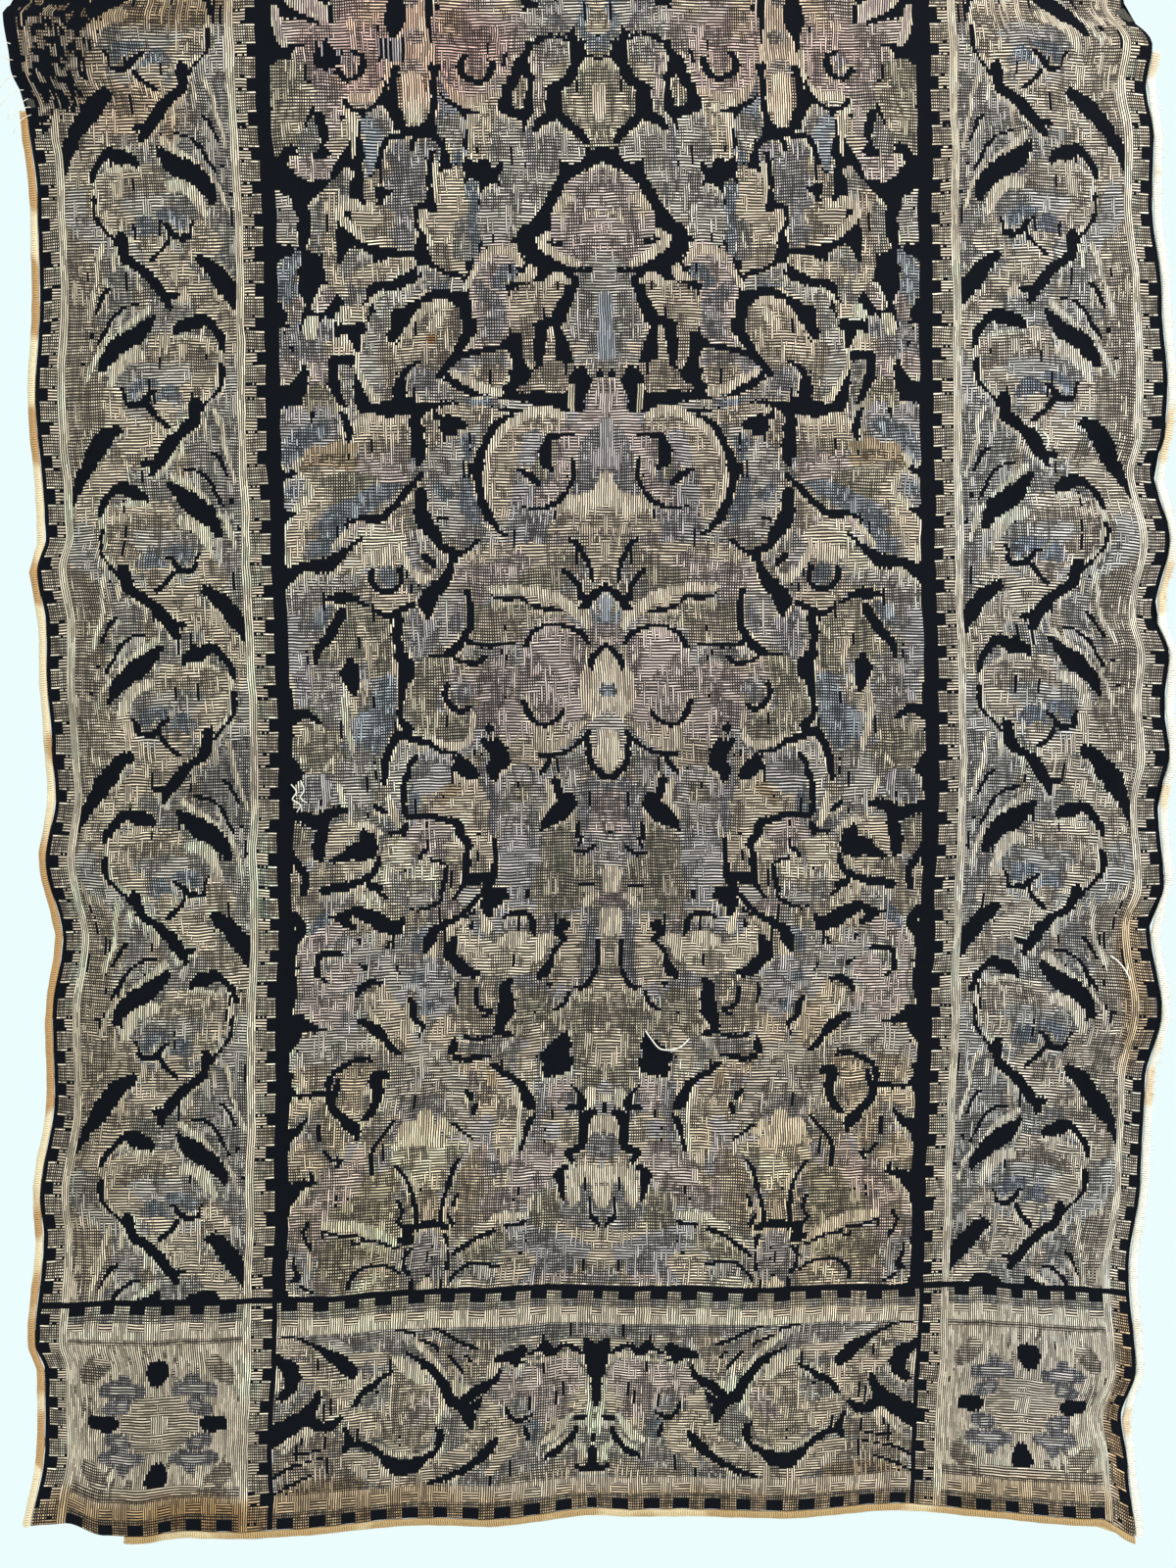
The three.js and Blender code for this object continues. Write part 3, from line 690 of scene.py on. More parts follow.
# The right half of the field, lower part
LOWER_FIGURES = strokes("""
    stone rib: 2 468 6, 3 478 6
    lilac grid: 12 470 6
    olive grid: 16 484 8, 26 480 8, 34 486 7, 20 496 9, 32 498 8
    lilac rib: 50 470 11, 50 480 11, 51 490 9, 48 496 4
    rose grid: 4 499 5
    cream pile: 2 484 3.4, 2 492 3.4
    cream pile: 8 497 2, 13 501 3
    cream pile: 2 507 4, 2 515 4
    tan rib: 69 468 5.4, 69 478 5.4, 70 482 3
    tan rib: 84 472 6.5, 84 478 5
    tan grid: 84 484 4, 84 496 3.4
    cream rib: 98 480 6, 100 488 8, 102 492 9
    stone rib: 98 496 6, 106 496 4
    tan grid: 106 470 4
    cream rib: 115 470 8, 116 480 9, 114 488 7
    stone grid: 115 486 4, 114 495 5
    cream rib: 114 503 3.4, 122 501 4.4, 130 498 4
    cream pile: 130 495 1.4, 134 495 2.4
    tan rib: 132 479 3, 141 480 5, 150 483 4
    tan rib: 147 467 5
    tan grid: 155 482 5, 157 492 5, 158 502 5
    tan grid: 164 470 5
    tan grid: 169 486 5, 170 495 4, 165 500 4
    stone grid: 142 497 5, 150 499 5
    blue grid: 153 506 4, 157 513 4
    lilac grid: 11 512 3, 11 524 3, 10 534 3, 14 543 4
    tan rib: 18 510 4, 19 520 5, 22 530 8, 25 540 8, 27 547 5
    lilac rib: 25 549 4, 30 554 3
    rose grid: 36 510 3.4, 37 516 3.4
    lilac rib: 44 502 4, 54 502 4, 59 508 3, 59 516 2
    stone grid: 47 513 4, 54 513 5
    cream rib: 40 525 5, 50 529 7, 60 531 8, 70 528 8, 76 522 5, 79 515 3.4
    cream rib: 44 536 3, 60 537 3
    cream pile: 32 520 3, 36 524 4, 39 531 2
    cream pile: 47 519 3, 53 521 4, 58 522 3
    cream pile: 65 508 1.6, 69 506 1.6, 66 514 3
    tan pile: 70 527 2.4, 76 530 2
    stone rib: 72 493 2.6, 78 498 3
    rose grid: 84 502 3, 92 504 4
    tan grid: 105 508 6
    tan grid: 86 515 3.4, 92 522 3, 93 530 3
    blue grid: 101 516 3, 104 524 4
    stone rib: 112 522 5, 115 532 7, 116 542 6
    stone rib: 128 516 3, 132 522 6, 136 527 5
    stone grid: 128 534 3.4, 126 540 2
    rose rib: 148 514 5, 158 520 5, 164 527 4, 165 536 3
    rose rib: 140 536 7, 148 540 9, 156 545 9, 150 555 9, 158 556 7, 147 564 3
    rose grid: 138 554 4
    stone grid: 151 531 4
    lilac rib: 90 536 6, 100 538 8, 96 548 9, 92 556 8, 88 562 5
    blue grid: 104 541 4
    blue grid: 98 557 4
    tan rib: 124 549 6, 119 558 7, 114 567 6, 111 575 6, 106 581 4
    cream pile: 129.5 549 1.2, 129 556 1.4, 124 564 1.4, 119 571 1.5, 114 578 2
    cream pile: 109 553 1.4, 108 561 1.4, 105 569 1.6
    tan rib: 86 567 6, 92 575 6
    tan grid: 65 544 4, 65 554 4, 67 559 4
    tan grid: 76 547 5, 76 558 5
    lilac grid: 42 543 4, 49 543 3
    olive grid: 38 556 8, 44 560 8, 44 569 8, 34 566 8
    tan rib: 38 576 6, 36 570 4
    tan rib: 3 546 5, 4 556 7, 4 570 8, 4 585 8
    olive grid: 14 556 6, 14 568 6, 13 580 6, 14 590 5
    tan grid: 2 524 4, 2 536 4
    tan grid: 64 566 5, 74 566 6, 80 568 4
    stone grid: 55 577 5, 66 578 5, 75 578 4
    stone grid: 54 585 4
    tan rib: 42 583 5, 46 589 4, 42 592 4
    stone rib: 96 586 9, 104 587 9, 94 594 8
    stone rib: 126 575 6, 138 575 7, 150 575 8, 160 578 8, 169 583 6, 173 590 4
    stone grid: 118 584 7, 114 592 6
    stone grid: 123 577 3
    tan grid: 133 589 5, 142 592 5
    tan grid: 158 592 7, 166 590 4
    olive grid: 3 594 5, 10 598 6
    cream pile: 8 605 3.4, 9 611 2.8, 10 616 1.2
    cream pile: 1 608 3
    cream rib: 42 590 4, 41 597 4, 42 601 2.4
    tan rib: 66 591 5, 76 591 5
    tan rib: 63 598 6, 59 606 9, 58 616 11, 58 628 11, 58 640 10, 57 650 8, 54 656 7
    lilac rib: 64 622 5, 64 634 5, 60 646 5
    brown rib: 63 592 2.4, 62 600 2.4
    cream pile: 49 603 1.2, 46.5 612 1.6, 46 622 1.2, 47 632 1.4, 49 641 1.3, 51 648 1.3
    rose rib: 22 602 5, 26 607 7, 27 613 4
    lilac grid: 34 606 4, 34 614 4, 36 622 4, 38 630 4
    tan rib: 22 624 7, 21 632 8, 30 631 5, 29 619 4
    lilac rib: 29 626 5
    rose rib: 28 643 8, 38 642 9, 46 648 6, 36 652 7, 46 656 6
    stone rib: 42 634 2.4
    tan rib: 8 642 6
    cream pile: 4 651 5, 13 651 5, 17 659 4, 16 667 3.4
    cream pile: 2 660 4, 1 667 2
    lilac grid: 9 658 3, 9 666 3.4
    cream pile: 3 622 4, 5 628 3
    lilac grid: 4 635 6
    stone grid: 10 672 5, 18 674 5
    olive grid: 30 666 7, 32 676 8
    rose grid: 48 662 6, 60 664 6, 64 656 4
    tan rib: 3 686 5, 13 684 4, 24 680 3.4
    lilac rib: 16 694 6, 28 691 6, 40 686 6, 30 698 7, 42 693 4
    tan rib: 3 696 5, 3 702 4
    tan rib: 42 700 6, 52 698 5, 54 706 5, 46 706 4
    lilac grid: 20 702 7, 32 705 6
    rose rib: 20 709 4, 34 710 3
    stone grid: 4 708 5
    cream pile: 42 673 1.6, 50 673 2.4, 58 674 2.8
    cream rib: 58 677 2.4, 67 680 3, 74 684 2.4, 80 689 1.6
    olive grid: 56 688 6, 64 690 6, 72 694 6
    olive rib: 60 697 2, 74 699 2
    stone grid: 62 705 4, 72 705 7
    cream rib: 62 711 2, 74 710 3, 82 712 1.6
    tan grid: 70 640 4, 72 652 7, 74 664 7, 76 674 4
    rose grid: 66 636 3, 64 648 3
    rose grid: 72 596 3, 73 601 2
    stone rib: 81 602 5, 84 596 6, 82 610 5, 78 619 5, 74 626 2.4
    lilac grid: 98 600 8, 104 610 9, 90 612 5, 106 620 6
    stone rib: 90 600 4, 112 604 5, 116 612 4
    stone rib: 118 620 3.4, 124 626 3
    cream pile: 85 626 2, 88 621 1.6, 93 625 3, 97 616 2.6, 100 623 4, 107 622 2.6, 110 627 2
    cream rib: 78 635 4, 87 637 6, 96 637 8, 106 636 8, 116 635 5
    cream rib: 96 644 11, 96 651 9, 97 658 7
    cream pile: 88 631 3, 96 630 3, 106 630 3
    cream pile: 113 633 1.6, 118 634 1.4
    tan grid: 96 664 6, 96 672 5.4
    tan pile: 86 668 1.2, 86 675 0.9
    lilac rib: 96 684 5, 96 691 9, 96 697 10, 97 702 5
    lilac grid: 90 704 4, 102 703 4
    cream pile: 96 711 4
    lilac grid: 117 634 3, 120 642 4
    tan rib: 136 594 5, 137 602 6, 137 610 5, 136 615 2
    tan rib: 158 606 5, 166 609 5, 172 614 3.4, 169 620 2.4
    stone grid: 156 614 4, 157 622 3, 154 630 4
    tan grid: 147 622 4, 144 630 5
    tan rib: 161 630 4, 168 638 5, 170 646 3, 158 638 4, 155 645 3
    rose rib: 131 635 4, 136 645 7, 143 654 8, 151 661 7, 160 663 4
    rose grid: 150 645 4, 152 652 4
    olive grid: 116 652 7, 126 658 9, 120 668 9, 134 664 6, 116 677 5, 142 668 6
    olive rib: 122 656 6
    rose grid: 152 671 6, 156 680 5, 154 688 5
    rose rib: 166 663 2, 169 673 4, 170 683 4, 163 686 3
    rose rib: 172 694 2.4, 172 704 2.4
    lilac grid: 162 694 2.4, 160 702 3
    cream pile: 114 686 1.6, 120 681 2.6, 128 678 3, 134 675 3, 142 674 3, 150 673.5 2.6
    olive grid: 120 690 5, 132 690 6, 144 688 7, 148 698 7
    olive rib: 140 696 2
    tan rib: 142 702 2, 142 708 3
    rose grid: 152 706 5
    tan grid: 122 701 3, 130 703 3
    cream rib: 114 709 4, 124 707 5, 132 710 3
    stone rib: 168 708 3, 160 711 1.6
    ink: 9 471 1, 13 474 1.2, 19 473.5 1
    ink: 15 466 1, 17 471 0.9
    ink: 9 491 0.8, 17 491.5 0.9
    ink: 62.5 466 1, 62.5 476 1.2, 63 485 2.4, 68 487 2.6, 76 487 3.4
    ink: 76.5 467 2, 77.5 476 2.2, 78 488 2, 80 493 1.2, 84 498 1
    ink: 55 498 1, 60 496 4, 65 500 5, 67 505 2.4, 64 508 1.6
    ink: 66 490 3, 68 496 2.4
    ink: 88 480 1.2, 89 488 1.6, 91 494 1.2
    ink: 89 479 1, 93 477 1.4, 97 476 0.8
    ink: 98 466 0.8, 98 471 1
    ink: 90 497 1, 96 501 1.2, 104 503.5 0.9, 108 503 0.8
    ink: 128 468 3, 136 470 5, 144 474 2, 150 476 0.8
    ink: 125 474 1.4, 127 482 2.4, 134 487 2, 144 489.5 2.6, 153 491 2
    ink: 124 491 2.4, 130 489 2, 121 496 1.2
    ink: 155 468 1.6, 155 475 1.2
    ink: 170 470 1.6, 167 477 2, 163 483 2, 164 492 1.6
    ink: 174 478 1.4
    ink: 112 508 1.3, 116 512 4, 124 509 4.4, 132 505 4, 138 503 2.6, 145 506 2, 150 506 1
    ink: 137 512 1.6, 143 508 2
    ink: 172 504 3, 165 511 3.6, 171 520 4, 172 536 4, 172 552 4
    ink: 25 513 3.4, 29 516 2, 24 521 1.2, 28 525 1.6, 31 531 1.4, 34 538 3, 37 541 2
    ink: 32 546 1.4
    ink: 41.5 516 1.6, 42 510 1.6, 46 507 1.5, 54 506.5 1.2, 58.5 509 1.2
    ink: 74.5 511 1.2, 75 514 1.2
    ink: 71 497 1.6, 76 503 1.5, 83 508.5 1.4, 90 511.5 2, 95 515 3, 98 521 3, 100 526 1.2
    ink: 73 505 1.2, 79 508 0.9
    ink: 118 520 0.8, 120 524 0.9
    ink: 134.5 518.5 0.9, 134.5 521 0.9
    ink: 144 526.5 1.3, 150 525.5 1.2, 155 527 1.6, 156.5 532 1.2, 157 537 1.8
    ink: 152 541 0.8, 154 539.5 1
    ink: 167 533 1
    ink: 122 543 1, 127 542 1.6, 132 545 2, 135 549 1.4
    ink: 131 534 1.2, 134 532 0.8
    ink: 84 519 2, 86 525 4, 83 532 3, 77 537 3.6, 71 539.5 1.4
    ink: 54 543 1.4, 56 549 3, 55 558 4.4, 58 565 3.4, 59 570 2.2, 52 573 1.4
    ink: 71 548 1, 71 556 1.3, 63 560 1.2, 68 561.5 0.9
    ink: 82 544 1, 82 556 0.9
    ink: 6.6 522 1, 6.4 534 1.2, 10 543 1.2, 14 548 1, 18 547.5 0.9
    ink: 21 551 1, 24 557 1.2, 29 560.5 0.9
    ink: 108 552 1, 105.5 556 1.4, 105.5 562 1.6, 100 567 1, 102 572 1.2
    ink: 114 535 0.7, 113 538 0.8
    ink: 134 562 1.4, 128 565.5 2.8, 122 569.5 2.6, 118 575 1.6, 113 581 1.4
    ink: 150 566.5 0.9, 158 566 2, 168 562 5, 171 572 4.4, 174 580 2
    ink: 52 573 1, 58 571.5 0.9, 64 572.5 1, 70 574.5 1.4, 78 573.5 1.2
    ink: 83 575 1, 84 581 2
    ink: 22 576 2.4, 25 582 5, 33 585.5 3, 24 589 6, 30 592 5, 33 596 1.6
    ink: 38 586 0.9
    ink: 63 584 1.2, 69 584.5 1.4, 75 586 1.6, 82 585 1.4
    ink: 62 589 1.3, 57 592.5 1.8, 51 597 1.8, 46 602 2.2, 43 608 3.4, 40 613 3
    ink: 127 583.5 0.9, 134 583 1.2, 141 586 1.4, 147 590 1.6, 150 596 2
    ink: 149 600 1.6, 156 601.5 1.6, 164 602.5 1.2, 171 600 3
    ink: 170 592 2
    ink: 118 592 1, 124 594 3, 123 602 2.2, 125 610 2.2, 130 616 2
    ink: 150 602 2, 147 609 2.4, 141 616 2.6, 135 621 3.6, 133 627 1.2
    ink: 145 594 1.6, 146 602 1.6
    ink: 161 615 1, 165 621 2.4, 172 626 3.4, 174 634 1.4
    ink: 153.5 620 1.2, 153 627 1
    ink: 151 634 1, 147 638 1.3, 142 638 1, 145 642 1
    ink: 160 644 1, 158 649 1.8, 164 651 2.6, 170 656 4, 173 664 2
    ink: 113 617 1, 118 623 1, 124 631 1.1, 126.5 639 1.3, 126 647 1.2
    ink: 73 606 2.2, 75 604 1.6
    ink: 70 611 1.2, 71 615 1.4
    ink: 82 622 1.2, 77 626.5 1, 72 630 1
    ink: 18 602 0.8, 14 606 1.6, 13 613 2.4, 20 614 1.2
    ink: 5 616 1.6, 10 619 3, 11 627 2.2, 12 635 2.2, 19 638.5 1.4, 17 643 1.6
    ink: 20 647 1, 24 651 2.2, 23 659 2, 22 665 1
    ink: 38 618 1.4, 41 622 1.8, 43 630 1, 45 637 1.4
    ink: 9 652 0.8, 9 660 0.8
    ink: 6 674 1.8, 2 679 1.4
    ink: 42 677.5 0.8, 48 678.5 1, 53 678.8 1
    ink: 59 681.5 1, 65 683.5 1, 71 686.5 1.2, 76 690.5 1.4, 81 694 1.2
    ink: 45 694 1.2
    ink: 57 701.5 1, 62 700 1, 68 699 0.9, 74 700 1, 79 703.5 1.1, 83 708 1.1
    ink: 78 641 0.9, 81.5 646 1.4, 84 654 1.4, 86 661 1, 88 668 1, 89 675 1.4
    ink: 79 661 0.9, 81.5 667 1.2
    ink: 84 672 0.8, 82 677 1.4
    ink: 112 643 0.9, 109 647.5 1.3, 106 653 1.5, 104 659 1.5, 102.6 667 1.3, 102 674 1.2
    ink: 85 679 1.8, 92 677 2, 100 677 2, 107 679 2.6, 106 685 2.4, 110 684 2
    ink: 86 684 2, 84 689 1
    ink: 105 690 0.9, 108 694 1, 107 701 1, 104 704 0.9
    ink: 84 693 0.8, 85 702 0.8
    ink: 95.6 692 0.7, 95.8 697 0.7
    ink: 88 709 1, 88 713 1.2
    ink: 103 708 1, 103 713 1.2
    ink: 95 705.5 0.9
    ink: 112 662 1.1, 110 669 0.8, 112 673 0.9, 110 677 1
    ink: 112 688.5 0.9, 118 685.5 1, 125 683.5 1, 131 682.5 1.1
    ink: 134 680 0.7, 141 680 0.8, 147 677.8 0.8, 152 677.3 0.8
    ink: 133 684.5 1, 137 684 0.9
    ink: 110 703 1.1, 114 699.5 1.1, 120 697.6 1, 127 697.4 1, 132 699.5 1.2, 136 703.5 1.3, 138 709 1.1
    ink: 159 672 1.2, 162 677 1, 158 685.5 1.2
    ink: 166 689 0.9, 166.5 696 1, 164 702 1.3, 168 704 0.8
    ink: 163 707 0.9, 156 711 0.9
""")
DENTIL_PITCH = 17.8
HEM_DENTIL_PITCH = 17.02
UNIT = 87.5
UNIT_AXIS = 239.0
# One unit of the upright border, from the middle of its bud; every second unit is mirrored
UNIT_FIGURES = strokes("""
    tan rib: -24 -74 6, -31 -67 6, -24 -65 6, -17 -62 4
    tan rib: 3 -68 6, 1 -62 8, -9 -52 10, -19 -44 9, -29 -36 8, -38 -27 8, -44 -17 7, -45 -8 5
    stone grid: -17 -35 4, -9 -33 4, -4 -28 4
    stone rib: -47 -6 6, -45 6 7, -37 14 5, -33 20 4
    tan rib: -29 -12 6, -21 -14 8, -11 -14 8, -1 -15 7
    tan grid: -23 -7 7, -11 -8 7, -1 -9 6, 5 -5 5
    stone rib: -15 0 6, -5 0 7, 5 0 6
    tan rib: -31 -2 3, -25 4 6, -18 9 6, -13 14 5
    stone grid: 15 -1 6, 19 4 4
    tan rib: 25 10 5, 26 20 5
    stone rib: 9 20 5, 17 20 6, 25 24 5
    blue grid: 3 5 3, 11 6 4, 14 10 3
    blue grid: -7 10 5, -3 16 5, -2 21 4
    lilac grid: -12 12 3
    stone rib: -17 20 5, -13 25 4
    cream pile: 10 -11 3, 16 -10 3.4, 21 -7 3.4, 24 -2 3, 27 4 2
    cream pile: -35 -15 1.3, -35 -8 1.2, -34 -2 1.2, -33 4 1.3
    cream pile: -31 9 1.2, -26 13 1.4, -19 16 1.4, -14 17 1
    cream pile: -29 -18 1, -17 -21 1.2, -9 -20 1.2
    stone grid: 15 -48 5, 21 -46 5, 27 -49 4, 11 -38 4, 19 -40 4, 17 -32 4, 25 -30 4, 32 -30 4
    tan grid: 12 -44 4, 10 -36 4
    cream pile: 12 -53 1.3, 12 -46 1.2
    cream pile: 6 -35 2, 12 -31 1.8, 18 -27 1.6, 24 -22 1.6, 28 -17 1.5, 31 -12 1.3
    cream pile: 25 -63 1.4, 26 -56 1.2
    cream pile: 32 -67 1.5, 35 -58 1.4, 36 -50 1.2, 38 -44 1.2, 40 -38 1.2, 42 -31 1.2
    cream pile: 33 -14 1.3, 37 -8 1.2, 39 -2 1.2, 41 3 1.1
    ink: -24 -60 3, -31 -55 4.6, -38 -47 5, -44 -39 4.2, -49 -32 3.2, -52 -24 2, -54 -18 1.3
    ink: -37 -14 1.3, -35 -20 2, -31 -25 2.2, -26 -29 2.6, -19 -27 4, -12 -25 2.8, -10 -22 1.3
    ink: 21 -72 3.2, 19 -62 3.2, 12 -57 2.6, 6 -52 3.2, 1 -46 3.4, -4 -40 2.6, -6 -36 1.6
    ink: -10 -42 1.6, -5 -42 1.8
    ink: 4 -30 1.6, 9 -25 4, 16 -20 5.2, 23 -16 5, 29 -10 3.8, 32 -4 2.4
    ink: 12 -38 0.7, 19 -37 0.8, 24 -34 1, 28 -30 1.1, 31 -24 1.1, 35 -18 1
    ink: 29 -46 0.9, 32 -44 1.1, 35 -39 1, 37 -34 1
    ink: 43 -6 1.1
    ink: 39 -21 1.2
    ink: 1 8 0.9, 5 10 1.3, 8 14 1.8, 12 16 1.6, 18 15 1.3, 19 10 1, 21 7 0.7
    ink: 6 17 1.4, 4 20 1.4, 1 23 1.2, -4 27 1.4
    ink: -36 -5 1.4, -36 1 1.3, -35 6 1.1, -31 11 0.8, -27 15 0.8, -24 19 1.4
    ink: -8 36 0.8, -4 35 0.6
""")
# The left half of the band along the hem
HEM_FIGURES = strokes("""
    stone grid: -130 742 6, -118 742 6, -108 744 6
    tan rib: -172 742 6, -160 744 5, -152 748 3
    stone rib: -152 738 2.4, -142 742 3.4, -136 747 3
    tan rib: -160 754 5, -150 760 7, -144 766 8, -140 774 7, -146 782 4
    tan rib: -132 752 4, -122 751 4, -114 752 4
    tan rib: -128 763 5, -133 768 5
    cream pile: -176 758 3, -176 764 3
    stone grid: -163 768 5, -160 776 4, -172 778 5, -170 784 4
    tan grid: -148 796 5, -142 800 4, -156 799 5, -150 804 5, -160 806 6, -168 812 7, -150 814 8,
        -138 816 8, -160 821 7
    cream pile: -165 797 1.4, -160 791 2, -155 793 1.6
    cream pile: -170 803 1.4, -165 798 1.4
    cream pile: -148 793 1.2, -143 794 1.2
    tan rib: -136 808 3, -126 812 6, -118 819 6, -108 825 4, -98 824 4, -88 819 5, -78 813 5, -70 808 6,
        -64 802 6
    brown grid: -170 825 3, -150 824 4, -130 824 4
    tan rib: -108 766 8, -100 776 13, -102 790 16, -104 800 9
    tan rib: -131 785 6, -122 790 8
    tan grid: -104 768 8, -102 780 10, -102 794 10, -112 792 8
    rose rib: -98 788 5, -90 778 5
    cream pile: -110 753 2.4, -105 757 3.6, -99 761 3.6, -95 765 2.4
    cream pile: -86 772 1.4, -84 781 1.4, -86 790 1.4
    cream pile: -120 802 1.4, -113 806.5 1.4, -104 809.5 1.3, -96 810 1.3, -89 806 1.4
    stone grid: -115 767 3, -124 776 4
    tan grid: -96 740 4, -88 746 4, -82 752 4, -78 760 4
    cream pile: -101 743 1.6, -95 748 2, -89 754 2, -85 759 2, -82 765 1.4
    tan grid: -60 744 7, -66 754 7, -68 764 4
    cream pile: -77 766 1.6, -75 773 3, -71 770 2.4
    cream pile: -55 757 2, -57 763 3, -54 749 1.6
    stone grid: -100 737 2.4, -90 738 3, -80 740 3
    stone grid: -60 738 3, -45 739 4, -30 741 4, -14 741 4, 0 740 3
    cream rib: -44 745 2, -34 744 2
    cream rib: -18 746 2, -8 747 2
    rose rib: -52 768 4, -47 765 5, -46 773 5, -50 778 4
    rose rib: -30 764 9, -18 764 8, -12 774 7, -34 774 8
    rose grid: -24 776 9, -26 786 8, -36 780 7, -18 790 6
    tan rib: -8 776 3.4, -8 785 4, -14 784 3
    tan rib: -22 798 6
    cream pile: -36 757 1.4, -28 756 1.4
    cream pile: -19 754.5 1.6, -11 755 1.4
    cream pile: -5 770 1.1, -4 784 1.4, -2.4 794 2, -2 801 1.6
    cream pile: -27 805 2.4, -21 802 2.6, -17 796 2.4, -13 790 1.6
    cream pile: -22 809 1.4, -15 804 1.6
    blue grid: -34 795 3.6, -33 802 2.6
    lilac grid: -42 781 4, -36 786 4
    tan rib: -59 778 3.4, -57 786 6, -58 795 8, -66 799 6
    tan rib: -48 795 8, -45 805 6, -51 812 4, -58 820 3
    stone grid: -80 786 3, -77 793 4, -75 801 4
    stone grid: -46 817 5, -36 816 6, -28 820 5
    tan grid: -50 825 3, -30 826 4, -14 822 6
    cream pile: -10 808 1.6, -6 811 2.4, -7 817 2
    ink: -173 735.5 0.8, -164 737 1.3, -157 741 1.5, -150 745 2.2, -144 749 3.2, -138 755 4.2,
        -134 759 3.2
    ink: -112 760 1.2, -118 763.5 1.6, -122 767 2.4, -129 771 1.4, -133 777 1.5
    ink: -120 771 1.4
    ink: -176 749 2.4, -168 755 4, -167 764 4, -172 771 2
    ink: -152 769 0.9, -154 774 2, -158 780 3.6, -165 786 4, -173 792 5, -178 797 4
    ink: -157 783 3, -151 788 3.2, -145 788 2.8, -140 784 1.6
    ink: -164 805 0.7, -157 804 0.8, -150 803 0.7
    ink: -175 817 0.8, -166 812 0.8, -158 810 0.9, -149 807.5 0.8
    ink: -176 827 0.9, -168 823 0.8, -161 820 0.9, -155 817 0.7
    ink: -138 790 1, -135 796 2.4, -137 803 1.8
    ink: -133 800 2.8, -125 802 2.4, -119 807 2.2, -113 813 3, -107 816.5 4.6, -100 816 4, -93 812 2.4,
        -87 808 1.6, -84 803 2.6, -84 797 2.2, -87 793 1.3
    ink: -109 819 2
    ink: -104 750 1, -98 753 1.6, -92 757 2.4, -87 763 2.8, -83 769 3, -80 776 2.8, -74 781 3, -69 786 4,
        -68 792 1.8
    ink: -72 779 3, -66 773 2.8, -60 770 2, -55 766 1.4, -52 761 1.2
    ink: -66 781 3, -62 777 1.2
    ink: -113 735 0.7, -106 736.5 0.8, -100 738.5 0.7
    ink: -97 742 0.8, -90 745 0.7, -87 748 0.8
    ink: -92 735 0.7, -85 738 0.8, -79 742 0.8, -73 745 0.9, -66 747 1
    ink: -80 752 0.9, -77 756 1, -73 761 1
    ink: -72 751 0.8, -68 755 1
    ink: -55 754 1.6, -48 753 3.6, -42 751 4, -40 747 1.8
    ink: -46 757 1.4, -40 757 1.2
    ink: -37 752 0.8, -32 750 1.4, -28 748 2.6, -24 752 2.8, -18 748.5 1.3, -13 750.5 1, -9 753 0.9
    ink: -6 747 2, -3 752 4, -1.6 762 3.6, -0.8 773 2.4, -0.4 786 1.2
    ink: -48 783 0.9, -46 788 1.3, -41 791 1.4, -35 788 1
    ink: -38 796 1, -36 803 1.3
    ink: -9 793 2, -5.6 792 1.6
    ink: -10 798 1.2, -11 803 1.4, -15 807 1.4, -20 812 1.6, -25 814 1.6
    ink: -54 801 1.6, -58 806 2.6, -63 812 2.6, -69 817 2.4, -76 821 2, -83 824 1.8, -90 827 1
    ink: -9 822 1.4, -4 822.5 2, 0 820 3, 0 811 2
    ink: 0 800 0.9, 0 806 1
""")
# A quarter of the corner block, from its middle
CORNER_FIGURES = strokes("""
    lilac grid: 11 19 4, 20 20 5, 31 19 4
    lilac grid: 21 11 5, 28 9 4
    lilac grid: 20 26 3.4
    stone rib: 16 20 2.6, 25 20 2.6
    stone rib: 22 10 2.6
    tan rib: 0 4 4, 10 6 6, 11 11 4, 2 13 4
    tan rib: 8 2 4, 19 2 4
    cream pile: 0 19 3
    cream pile: 0 2 3.4, 3 2 2.6
    tan grid: 34 33 6, 40 27 5
    tan rib: 32 36 3
    ink: 0 26 4.6, 1 31 6
    ink: 25 1 1.6, 31 1 3.8, 37 -1 3.4
""")
# Where the woven parts meet, in millimetres: the line round the field, the drop of the field and
# the width between the ribbed stripes of an upright border
FIELD_LINE = 178.5
FIELD_DROP = 713
BORDER_FROM = 292
BORDER_TO = 194.5


